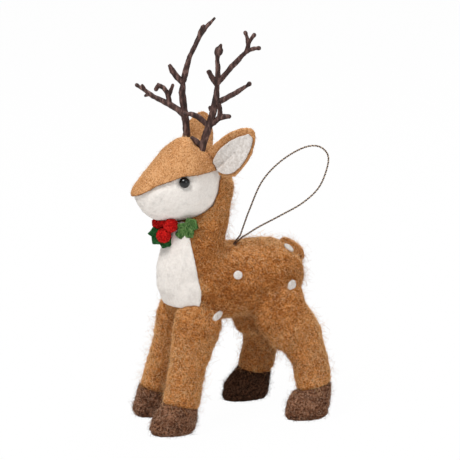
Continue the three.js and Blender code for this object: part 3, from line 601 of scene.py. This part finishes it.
def hair_mesh(name, paths, ups, thickness, kinds, shades):
    """Closed three-sided hairs, flat side down, thinning to the tip and lit as their skin is."""
    count, rings = paths.shape[:2]
    run = np.gradient(paths, axis=1)
    run /= np.linalg.norm(run, axis=2)[:, :, None] + TINY
    side = np.cross(run, ups)
    side /= np.linalg.norm(side, axis=2)[:, :, None] + TINY
    over = np.cross(side, run)
    taper = np.linspace(1, TIP_SHARE, rings)[None, :, None, None] * thickness / 2
    angle = np.arange(3) * 2 * math.pi / 3 - math.pi / 6
    ring = side[:, :, None] * np.cos(angle)[:, None] + over[:, :, None] * np.sin(angle)[:, None]
    places = (paths[:, :, None] + ring * taper).reshape(-1, 3)
    places[:, 2] = np.maximum(places[:, 2], FLOOR_CLEARANCE)
    faces = []
    for k in range(rings - 1):
        for j in range(3):
            a = 3 * k + j
            b = 3 * k + (j + 1) % 3
            faces += [(a, b + 3, b), (a, a + 3, b + 3)]
    end = 3 * (rings - 1)
    faces += [(0, 1, 2), (end + 2, end + 1, end)]
    each = np.array(faces)
    starts = np.arange(count) * 3 * rings
    every = (starts[:, None, None] + each[None]).reshape(-1, 3)
    mesh = bpy.data.meshes.new(name)
    mesh.from_pydata(places, [], every)
    for shade in shades:
        mesh.materials.append(shade)
    mesh.polygons.foreach_set("material_index", np.repeat(kinds, len(each)).astype(np.int32))
    mesh.polygons.foreach_set("use_smooth", np.ones(len(every), bool))
    mesh.update()
    mesh.normals_split_custom_set_from_vertices(np.repeat(ups.reshape(-1, 3), 3, axis=0))
    return mesh


def shade_numbers(points, weights, clump, pale, chance):
    """The shade of each hair: hairs in a clump of the given size tend to share one."""
    field = chance.normal(0, SHADE_SPREAD, len(points)) + pale
    field += [noise.noise(Vector(point) / clump) for point in points]
    cuts = np.quantile(field, np.cumsum(weights)[:-1])
    return np.searchsorted(cuts, field)


def fuzz(name, skin, slot, shades, *, density, length, thickness, lift, stray, stray_lift, seed,
         lie=(0, 0, 0), curl=0.5, weights=(0.25, 0.4, 0.35), clump=0.6, cover=None, neighbours=(),
         where=None, paler=None):
    """Covers a skin's open parts, or some of them, in hairs, which may lie over its neighbours.

    Lengths are in millimetres, and the density is a number of hairs for each square millimetre.
    """
    chance = np.random.default_rng(seed)
    points, normals = scatter(skin.data, triangles_of(skin.data), density, chance)
    if cover:
        kept = uncovered(points, normals, cover)
        points, normals = points[kept], normals[kept]
    if where:
        kept = [bool(where(Vector(point))) for point in points]
        points, normals = points[kept], normals[kept]
    order = np.argsort(points[:, 1])
    points, normals = points[order], normals[order]
    ground = tree_of(skin, *neighbours)
    paths, ups = hair_paths(ground, points, normals, np.array(length) * MM, lift * MM, stray,
                            stray_lift * MM, lie, curl, chance)
    pale = paler(points, normals) if paler else 0
    kinds = shade_numbers(points, weights, clump * MM, pale, chance)
    pieces = math.ceil(len(points) / FIBRES_IN_A_PIECE)
    for number, some in enumerate(np.array_split(np.arange(len(points)), pieces), 1):
        mesh = hair_mesh(f"{name}_{number}", paths[some], ups[some], thickness * MM, kinds[some], shades)
        tuft = new_object(f"{name}_{number}", mesh)
        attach(tuft, FIGURE)


# Wool body: torso, neck, legs and tail felted into one skin
SIDES = ("left", "right")
LEGS = [f"{end}_{side}" for end in ("front", "hind") for side in SIDES]
SPOTS = [f"{side}_{place}_spot" for side in SIDES for place in ("shoulder", "flank", "haunch", "rump")]

coat_nodes = ["body_felt", "tail", *(f"{leg}_leg" for leg in LEGS)]
coat = soft_form("wool_coat", coat_nodes, voxel=0.48 * MM, rounds=24)
swell(coat, 0.15 * MM)
tail_seam = sum(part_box("tail"), Vector()) / 2 + Vector(TAIL_SEAM) * MM
smooth_near(coat, tail_seam, TAIL_SEAM_REACH, rounds=40)
ruffle(coat, height=0.5 * MM, size=5 * MM, seed=3)
ruffle(coat, height=0.25 * MM, size=1.3 * MM, seed=8)


def facing_of(piece):
    """The middle of a flat piece on the body and the way that it faces."""
    centre = piece.mean(0)
    facing = np.linalg.svd(piece - centre, full_matrices=False)[2][2]
    return centre, facing * math.copysign(1, facing @ (centre - np.array(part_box("torso_core")).mean(0)))


def press_under(skin, name, reach, sink):
    """Presses a skin in under a flat piece, so that the whole piece shows."""
    piece = points_of(nodes[name].data)
    centre, facing = facing_of(piece)
    places = points_of(skin.data) - centre
    height = places @ facing
    aside = np.linalg.norm(places - np.outer(height, facing), axis=1)
    radius = np.linalg.norm(piece - centre, axis=1).max()
    near = np.clip((reach - aside / radius) / (reach - 1), 0, 1) * (np.abs(height) < radius * 2)
    down = np.maximum(height - (((piece - centre) @ facing).max() - sink), 0) * near
    move_points(skin.data, points_of(skin.data) - np.outer(down, facing))


for name in SPOTS:
    press_under(coat, name, SPOT_PRESS, SPOT_SINK)
dress(coat, wool, "caramel_wool", *coat_nodes)

# Hooves of dark wool with flat soles, the far hind one darker: partly darker wool and partly painted shade
# for its place under the belly
DARKER_HOOF = "hind_right"
hooves = []
for number, leg in enumerate(LEGS):
    hoof = soft_form(f"{leg}_hoof_wool", [f"{leg}_hoof"], voxel=0.4 * MM, rounds=10)
    swell(hoof, 0.1 * MM)
    ruffle(hoof, height=0.35 * MM, size=1.6 * MM, seed=20 + number)
    soles = points_of(hoof.data)
    soles[:, 2] = np.maximum(soles[:, 2], 0)
    move_points(hoof.data, soles)
    dress(hoof, dark_shaded_hoof_wool if leg == DARKER_HOOF else hoof_wool, "hoof_wool", f"{leg}_hoof")
    hooves.append(hoof)

# Head: one smooth egg, whose lower part is the white face and whose upper part carries the crown felt
nose_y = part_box("face_felt")[0].y
chin_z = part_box("face_felt")[0].z


def over_crown_edge(point):
    """How far a point lies above the lower edge of the crown felt."""
    back = (point.y - nose_y) / HEAD_LENGTH
    return point.z - chin_z - HEAD_HEIGHT * np.interp(back, CROWN_EDGE_BACK, CROWN_EDGE_UP)


eyes = {}
for side in SIDES:
    low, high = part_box(f"{side}_eye")
    eyes[side] = ((low + high) / 2, (high.z - low.z) / 2)

face = soft_form("face", ["face_felt", "head_core"], voxel=0.4 * MM, rounds=90, hull=True)
swell(face, 0.15 * MM)
crown = new_object("crown", face.data.copy())
places = points_of(face.data)
for centre, _ in eyes.values():
    away = np.linalg.norm(places - np.array(centre), axis=1) / EYE_DIMPLE_REACH
    pressed = EYE_DIMPLE_DEPTH * np.clip(1 - away**2, 0, 1)
    places -= normals_of(face.data) * pressed[:, None]
move_points(face.data, places)
ruffle(face, height=0.12 * MM, size=3 * MM, seed=31)
trim(face, lambda point: CROWN_TUCK - over_crown_edge(point))
thicken(face, FACE_FELT, outward=False)
dress(face, white_cloth, "white_felt", "face_felt")

trim(crown, over_crown_edge)
swell(crown, CROWN_GAP)
ruffle(crown, height=0.15 * MM, size=4 * MM, seed=35)
thicken(crown, CROWN_FELT, outward=True)
dress(crown, crown_cloth, "caramel_felt", "crown_felt")

for side, (centre, radius) in eyes.items():
    form = bmesh.new()
    bmesh.ops.create_icosphere(form, subdivisions=4, radius=radius)
    bmesh.ops.translate(form, verts=form.verts, vec=centre)
    mesh = bpy.data.meshes.new(f"{side}_eye_bead")
    form.to_mesh(mesh)
    form.free()
    mesh.polygons.foreach_set("use_smooth", [True] * len(mesh.polygons))
    dress(new_object(f"{side}_eye_bead", mesh), eye_bead, "bead", f"{side}_eye")

# Ears: curled felt with white linings, each creased at its base


def crease(lining, along, facing):
    """Presses a fold into the shown side of a lining, deepest at its base."""
    places = points_of(lining.data)
    along = np.array(Vector(along).normalized())
    up = places @ along
    base = places[up < up.min() + CREASE_BASE].mean(0)
    up = (places - base) @ along
    aside = np.linalg.norm(places - base - up[:, None] * along, axis=1)
    fold = np.exp(-((aside / CREASE_WIDTH) ** 2)) * np.clip(1 - up / CREASE_LENGTH, 0, 1)
    shown = normals_of(lining.data) @ np.array(facing) > 0
    move_points(lining.data, places - np.outer(CREASE_DEPTH * fold * shown, facing))


ears = []
linings = []
for number, side in enumerate(SIDES):
    ear = soft_form(f"{side}_ear_felt", [f"{side}_ear"], voxel=0.24 * MM, rounds=14)
    ruffle(ear, height=0.15 * MM, size=2.5 * MM, seed=41 + number)
    dress(ear, crown_cloth, "caramel_felt", f"{side}_ear")
    ears.append(ear)
    lining = soft_form(f"{side}_ear_white", [f"{side}_ear_lining"], voxel=0.22 * MM, rounds=10)
    swell(lining, 0.08 * MM)
    ruffle(lining, height=0.12 * MM, size=2 * MM, seed=43 + number)
    crease(lining, EAR_ALONG[side], EAR_FACING[side])
    dress(lining, greyish_shaded_cloth, "white_felt", f"{side}_ear_lining")
    linings.append(lining)

# Antlers: twigs with knots and bark
for number, side in enumerate(SIDES):
    antler = soft_form(f"{side}_antler_twig", [f"{side}_antler"], voxel=0.17 * MM, rounds=5)
    swell(antler, 0.18 * MM)
    for at, reach, amount in KNOBS[side]:
        middle = (Vector(ANTLER_SEAT[side]) + Vector(at)) * MM
        swell_near(antler, middle, reach * MM, amount * MM)
    ruffle(antler, height=0.2 * MM, size=2.2 * MM, seed=51 + number)
    ruffle(antler, height=0.05 * MM, size=0.6 * MM, seed=55 + number)
    dress(antler, twig_bark, "twig", f"{side}_antler")

# Bib, holly and spots
bib = soft_form("bib_felt", ["chest_bib"], voxel=0.3 * MM, rounds=60)
swell(bib, 0.2 * MM)
ruffle(bib, height=0.04 * MM, size=4 * MM, seed=61)
dress(bib, shaded_bib_cloth, "white_felt", "chest_bib")

berries = []
for number in range(1, 5):
    berry = soft_form(f"berry_{number}", [f"holly_berry_{number}"], voxel=0.2 * MM, rounds=12)
    swell(berry, 0.08 * MM)
    ruffle(berry, height=0.2 * MM, size=0.8 * MM, seed=70 + number)
    dress(berry, red_cloth, "red_felt", f"holly_berry_{number}")
    berries.append(berry)

leaves = {}
for side, cloth, slot in (
        ("left", green_cloth, "green_felt"),
        ("right", dark_green_cloth, "dark_green_felt")):
    leaf = soft_form(f"holly_{side}", [f"holly_leaf_{side}"], voxel=0.18 * MM, rounds=8)
    swell(leaf, 0.06 * MM)
    ruffle(leaf, height=0.2 * MM, size=1.5 * MM, seed=81)
    dress(leaf, cloth, slot, f"holly_leaf_{side}")
    leaves[side] = leaf


def stretch_on(piece, ground, level, upward):
    """Stretches a flat piece level and upward along the surface that carries it."""
    places = points_of(piece.data)
    centre, facing = facing_of(places)
    aside = np.cross(facing, (0, 0, 1))
    aside /= np.linalg.norm(aside)
    rise = np.cross(aside, facing)
    moved = places - centre
    moved += np.outer(moved @ aside, aside) * (level - 1) + np.outer(moved @ rise, rise) * (upward - 1)
    moved += centre
    for before, after in zip(places, moved):
        depths = []
        for place in (before, after):
            start = Vector(place + facing * RAY_START)
            depths.append(ground.ray_cast(start, Vector(-facing), RAY_REACH)[3] or RAY_START)
        after -= facing * (depths[1] - depths[0])
    move_points(piece.data, moved)


coat_tree = tree_of(coat)
spots = []
for number, name in enumerate(SPOTS):
    spot = soft_form(f"{name}_felt", [name], voxel=0.15 * MM, rounds=8)
    swell(spot, 0.06 * MM)
    place = name.split("_")[1]
    if place in SPOT_STRETCH:
        stretch_on(spot, coat_tree, *SPOT_STRETCH[place])
    ruffle(spot, height=0.1 * MM, size=0.8 * MM, seed=90 + number)
    dress(spot, spot_cloth, "white_felt", name)
    spots.append(spot)

# Inner pieces, which nothing shows from outside
INNER = {
    "torso_core": grainy("foam", (226, 222, 210), (246, 243, 235), size=1.5 * MM, roughness=0.85),
    "neck_peg": grainy("dowel", (188, 150, 98), (216, 186, 138), size=0.8 * MM, roughness=0.7,
                       stretch=(1, 1, 0.2)),
    "front_leg_wire": grainy("wire", (130, 130, 132), (170, 170, 172), size=0.4 * MM, roughness=0.35,
                             metal=1.0),
}
INNER["head_core"] = INNER["torso_core"]
INNER["hind_leg_wire"] = INNER["front_leg_wire"]
INNER["hanger_knot"] = brown_thread
for name, material in INNER.items():
    nodes[name].data.materials.clear()
    nodes[name].data.materials.append(material)

# Hairs of each skin
COAT_LIE = (0, 0.2, -0.3)
COAT_WEIGHTS = (0.37, 0.34, 0.29)
COAT_LAYERS = {
    "coat_hairs": dict(shades=coat_hairs, density=3.6, length=(0.6, 1.4), thickness=0.12, lift=0.3,
                       stray=0.1, stray_lift=0.8, curl=0.8, clump=0.5, seed=1),
    "coat_curls": dict(shades=curl_hairs, density=1.6, length=(1, 2.2), thickness=0.14, lift=0.5,
                       stray=0.15, stray_lift=1, curl=1, clump=0.4, seed=2),
    "coat_wisps": dict(shades=curl_hairs, density=0.65, length=(2.5, 5.5), thickness=0.1, lift=0.6,
                       stray=0.2, stray_lift=1.4, curl=0.9, clump=0.6, seed=3),
    "coat_down": dict(shades=down_and_rim_light_hairs, density=2.2, length=(0.15, 0.5), thickness=0.05, lift=1,
                      stray=1, stray_lift=1.3, curl=0.4, clump=0.6, seed=4),
    "coat_halo": dict(shades=halo_hairs, density=0.36, length=(1.5, 6), thickness=0.08, lift=1,
                      stray=1, stray_lift=4, curl=0.8, clump=0.6, seed=5),
}
LEG_TOP = 46 * MM
LEG_FADE = 15 * MM
LEGS_PALER = 0.34
NECK_FOOT = 68 * MM
NECK_FADE = 12 * MM
NECK_PALER = 0.24
# Painted light: wool hairs paler where the skin faces up, as if lit from above
PAINTED_TOP_LIGHT = 0.5
COAT_EDGE = 2 * MM
CROWN_EDGE = 0.6 * MM

INSIDE = ("torso_core", "front_leg_wire", "hind_leg_wire", "hanger_knot", "head_core")
hidden = [nodes[name] for name in INSIDE]
laid_on = [bib, face, crown, *ears, *hooves, *spots]
coat_cover = tree_of(*hidden, *laid_on)
hoof_cover = tree_of(*hidden, coat)


def paler_wool_and_top_light(points, normals):
    """How much paler the wool is on the tightly wound legs and up the neck, plus painted light from above on
    top of the back.
    """
    legs = np.clip((LEG_TOP - points[:, 2]) / LEG_FADE, 0, 1)
    neck = np.clip((points[:, 2] - NECK_FOOT) / NECK_FADE, 0, 1)
    # painted light from above: hairs paler where the skin faces up
    top = np.clip(normals[:, 2], 0, 1)
    return LEGS_PALER * legs + NECK_PALER * neck + PAINTED_TOP_LIGHT * top


for name, layer in COAT_LAYERS.items():
    fuzz(name, coat, "caramel_wool", lie=COAT_LIE, weights=COAT_WEIGHTS, cover=coat_cover,
         neighbours=laid_on, paler=paler_wool_and_top_light, **layer)

# Wool that laps over the edges of the face and the bib
for number, (name, piece) in enumerate((("face", face), ("bib", bib))):
    edge = tree_of(piece)
    fuzz(f"{name}_edge_hairs", coat, "caramel_wool", curl_hairs, density=5, length=(1.2, 2.6), thickness=0.1,
         lift=0.6, stray=0.3, stray_lift=0.9, curl=0.6, cover=coat_cover, neighbours=laid_on,
         where=lambda point: edge.find_nearest(point, COAT_EDGE)[0], seed=51 + number)

for number, (leg, hoof) in enumerate(zip(LEGS, hooves)):
    shades = dark_shaded_hoof_hairs if leg == DARKER_HOOF else hoof_hairs
    fuzz(f"{leg}_hoof_hairs", hoof, "hoof_wool", shades, density=3.2, length=(1.4, 2.8), thickness=0.085,
         lift=0.35, stray=0.3, stray_lift=1.2, cover=hoof_cover, neighbours=[coat], seed=31 + number)
    fuzz(f"{leg}_hoof_halo", hoof, "hoof_wool", shades, density=0.5, length=(1, 3.2), thickness=0.085,
         lift=1, stray=1, stray_lift=2.4, cover=hoof_cover, neighbours=[coat], seed=41 + number)

fuzz("face_hairs", face, "white_felt", white_hairs, density=0.9, length=(1.2, 2.4), thickness=0.06,
     lift=0.12, stray=0.03, stray_lift=0.5, seed=12)
fuzz("crown_hairs", crown, "caramel_felt", crown_hairs, density=1.2, length=(1, 2), thickness=0.065,
     lift=0.1, stray=0.03, stray_lift=0.4, seed=13)
# Darker hairs along the crown's lower edge: partly the felt's darker cut edge, partly a painted shadow line
# under it
fuzz("crown_edge_shadow_hairs", crown, "caramel_felt", edge_hairs, density=10, length=(0.6, 1.3), thickness=0.09,
     lift=0.12, stray=0.1, stray_lift=0.4, where=lambda point: over_crown_edge(point) < CROWN_EDGE, seed=20)
# pale down: partly fuzz, partly painted rim light
fuzz("crown_down", crown, "caramel_felt", down_and_rim_light_hairs, density=2, length=(0.2, 0.6), thickness=0.05,
     lift=0.6, stray=1, stray_lift=0.7, seed=21)
fuzz("crown_halo", crown, "caramel_felt", halo_hairs, density=0.12, length=(1, 3), thickness=0.08,
     lift=1, stray=1, stray_lift=1.6, seed=22)
fuzz("bib_hairs", bib, "white_felt", white_hairs, density=1.0, length=(1.2, 2.4), thickness=0.06,
     lift=0.14, stray=0.05, stray_lift=0.6, seed=14)

for number, (side, ear, lining) in enumerate(zip(SIDES, ears, linings)):
    fuzz(f"{side}_ear_hairs", ear, "caramel_felt", crown_hairs, density=1.6, length=(0.9, 1.8),
         thickness=0.065, lift=0.14, stray=0.08, stray_lift=0.5, seed=15)
    fuzz(f"{side}_ear_down", ear, "caramel_felt", down_and_rim_light_hairs, density=2, length=(0.2, 0.5),
         thickness=0.05, lift=0.5, stray=1, stray_lift=0.6, seed=61 + number)
    fuzz(f"{side}_ear_halo", ear, "caramel_felt", halo_hairs, density=0.2, length=(0.8, 2.4),
         thickness=0.08, lift=0.8, stray=1, stray_lift=1.3, seed=63 + number)
    fuzz(f"{side}_lining_hairs", lining, "white_felt", white_hairs, density=1.0, length=(0.8, 1.6),
         thickness=0.06, lift=0.12, stray=0.04, stray_lift=0.4, seed=16)

for number, berry in enumerate(berries, 1):
    fuzz(f"berry_hairs_{number}", berry, "red_felt", red_hairs, density=5, length=(0.6, 1.3),
         thickness=0.06, lift=0.14, stray=0.12, stray_lift=0.4, seed=17)
fuzz("left_leaf_hairs", leaves["left"], "green_felt", green_hairs, density=6, length=(1, 2.2),
     thickness=0.085, lift=0.2, stray=0.12, stray_lift=0.6, lie=(0, 0, -1.5), curl=0.3, seed=18)
fuzz("right_leaf_hairs", leaves["right"], "dark_green_felt", dark_green_hairs, density=3, length=(0.7, 1.4),
     thickness=0.06, lift=0.12, stray=0.08, stray_lift=0.35, seed=19)

# Hanging cord: two threads twisted together


def distances_along(route):
    return np.concatenate(([0], np.cumsum(np.linalg.norm(np.diff(route, axis=0), axis=1))))


def smooth_route(points):
    """Evenly spaced points on a smooth curve through some points, and its length."""
    padded = [points[0] * 2 - points[1], *points, points[-1] * 2 - points[-2]]
    fine = []
    for a, b, c, d in zip(padded, padded[1:], padded[2:], padded[3:]):
        for t in np.linspace(0, 1, CURVE_STEPS, endpoint=False):
            pull = (c - a) * t + (a * 2 - b * 5 + c * 4 - d) * t**2 + (b * 3 - a - c * 3 + d) * t**3
            fine.append(b + pull * 0.5)
    fine = np.array([*fine, points[-1]])
    along = distances_along(fine)
    even = np.linspace(0, along[-1], max(2, round(along[-1] / CORD_STEP)))
    return np.stack([np.interp(even, along, fine[:, i]) for i in range(3)], 1), along[-1]


def twisted(route):
    """Points and faces of two threads wound round a route, with the faces of the first thread first."""
    run = np.gradient(route, axis=0)
    run /= np.linalg.norm(run, axis=1)[:, None]
    across = np.cross(run, ACROSS_HINT)
    across /= np.linalg.norm(across, axis=1)[:, None]
    over = np.cross(run, across)
    along = distances_along(route)
    count = len(route)
    sides = THREAD_SIDES
    threads = []
    faces = []
    for strand in range(2):
        turn = 2 * math.pi * along / CORD_PITCH + math.pi * strand
        outward = across * np.cos(turn)[:, None] + over * np.sin(turn)[:, None]
        middle = route + outward * THREAD_RADIUS * THREAD_SPREAD
        lines = []
        for j in range(sides):
            angle = 2 * math.pi * j / sides
            lines.append(middle + (across * math.cos(angle) + over * math.sin(angle)) * THREAD_RADIUS)
        threads.append(np.stack(lines, 1).reshape(-1, 3))
        start = strand * count * sides
        for i in range(count - 1):
            for j in range(sides):
                a = start + i * sides + j
                b = start + i * sides + (j + 1) % sides
                faces.append((a, b, b + sides, a + sides))
        faces.append(tuple(start + j for j in reversed(range(sides))))
        faces.append(tuple(start + (count - 1) * sides + j for j in range(sides)))
    return np.concatenate(threads), faces


def cord_piece(name, routes, *threads):
    """Twisted cord along some routes, of two threads."""
    places = []
    faces = []
    kinds = []
    for route in routes:
        some, more = twisted(route)
        start = sum(map(len, places))
        faces += [tuple(start + i for i in face) for face in more]
        kinds += [0] * (len(more) // 2) + [1] * (len(more) // 2)
        places.append(some)
    mesh = bpy.data.meshes.new(name)
    mesh.from_pydata(np.concatenate(places).tolist(), [], faces)
    for one in threads:
        mesh.materials.append(one)
    mesh.polygons.foreach_set("material_index", kinds)
    mesh.polygons.foreach_set("use_smooth", [True] * len(faces))
    return new_object(name, mesh)


loop_points = [CORD_FORK + Vector(p) * MM for p in CORD_ROUTE]
loop_route, loop_length = smooth_route(loop_points)
strand_routes = []
for end, aside in ((loop_points[0], -STRANDS_APART), (loop_points[-1], STRANDS_APART)):
    foot = CORD_FOOT + Vector((aside, 0, 0))
    strand_routes.append(smooth_route([foot, foot.lerp(end, 0.5), end])[0])

loop = cord_piece("hanging_loop", [loop_route], dark_thread, light_thread)
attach(loop, "cord_loop")
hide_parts("hanger_loop")
strands = cord_piece("hanging_strands", strand_routes, dark_thread, brown_thread)
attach(strands, "cord_strands")
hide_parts("hanger_strands")

# Stage: pale floor, soft light and the camera
FLOOR_REACH = 4
FLOOR_GREY = (0.8, 0.8, 0.8, 1)
FLOOR_GLOW_SHARE = 0.98
WORLD_WHITE = (1, 1, 1, 1)
WORLD_STRENGTH = 0.42
CLIP_START = 0.01
UP = Vector((0, 0, 1))


def pale_floor():
    """A white floor that keeps the shadow: partly lit and partly its own white, for what looks at it."""
    material, tree, shader = new_material("pale_floor")
    output = tree.nodes["Material Output"]
    tree.nodes.remove(shader)
    lit = tree.nodes.new("ShaderNodeBsdfDiffuse")
    lit.inputs["Color"].default_value = FLOOR_GREY
    glow = tree.nodes.new("ShaderNodeEmission")
    glow.inputs["Strength"].default_value = 1.0
    light = tree.nodes.new("ShaderNodeLightPath")
    seen = tree.nodes.new("ShaderNodeMath")
    seen.operation = "MAXIMUM"
    tree.links.new(light.outputs["Is Camera Ray"], seen.inputs[0])
    tree.links.new(light.outputs["Is Glossy Ray"], seen.inputs[1])
    reached = tree.nodes.new("ShaderNodeMath")
    reached.operation = "MAXIMUM"
    tree.links.new(seen.outputs[0], reached.inputs[0])
    tree.links.new(light.outputs["Is Transmission Ray"], reached.inputs[1])
    share = tree.nodes.new("ShaderNodeMath")
    share.operation = "MULTIPLY"
    share.inputs[1].default_value = FLOOR_GLOW_SHARE
    tree.links.new(reached.outputs[0], share.inputs[0])
    mix = tree.nodes.new("ShaderNodeMixShader")
    tree.links.new(share.outputs[0], mix.inputs["Fac"])
    tree.links.new(lit.outputs[0], mix.inputs[1])
    tree.links.new(glow.outputs[0], mix.inputs[2])
    tree.links.new(mix.outputs[0], output.inputs["Surface"])
    return material


floor_mesh = bpy.data.meshes.new("floor")
floor_corners = [(-1, -1), (1, -1), (1, 1), (-1, 1)]
floor_mesh.from_pydata([(x * FLOOR_REACH, y * FLOOR_REACH, 0) for x, y in floor_corners], [], [(0, 1, 2, 3)])
floor = new_object("floor", floor_mesh)
floor_mesh.materials.append(pale_floor())

turn = math.radians(CAMERA_AZIMUTH)
rise = math.radians(CAMERA_ELEVATION)
to_camera = Vector((math.sin(turn) * math.cos(rise), -math.cos(turn) * math.cos(rise), math.sin(rise)))
to_right = Vector((math.cos(turn), math.sin(turn), 0))

camera_data = bpy.data.cameras.new("camera")
camera_data.sensor_width = SENSOR
camera_data.lens = SENSOR * CAMERA_DISTANCE / VIEW_WIDTH
camera_data.clip_start = CLIP_START
camera = new_object("camera", camera_data)
camera.location = CAMERA_TARGET + to_camera * CAMERA_DISTANCE
camera.rotation_mode = "QUATERNION"
camera.rotation_quaternion = (-to_camera).to_track_quat("-Z", "Y")
bpy.context.scene.camera = camera


def softbox(name, direction, distance, size, watts):
    lamp = bpy.data.lights.new(name, "AREA")
    lamp.shape = "DISK"
    lamp.size = size
    lamp.energy = watts
    box = new_object(name, lamp)
    box.location = CAMERA_TARGET + direction.normalized() * distance
    box.rotation_mode = "QUATERNION"
    box.rotation_quaternion = (-direction).to_track_quat("-Z", "Y")


softbox("key", to_camera * 0.65 - to_right * 0.65 + UP * 1.3, distance=0.9, size=0.38, watts=5.8)
softbox("fill", to_camera * 0.7 + to_right * 0.6 + UP * 0.2, distance=1.0, size=0.7, watts=1.9)
softbox("rim", UP * 1.0 - to_camera * 0.5 + to_right * 0.3, distance=0.9, size=0.7, watts=3.8)

world = bpy.data.worlds.new("studio")
bpy.context.scene.world = world
world.use_nodes = True
backdrop = world.node_tree.nodes["Background"]
backdrop.inputs["Color"].default_value = WORLD_WHITE
backdrop.inputs["Strength"].default_value = WORLD_STRENGTH
bpy.context.scene.view_settings.view_transform = "Standard"
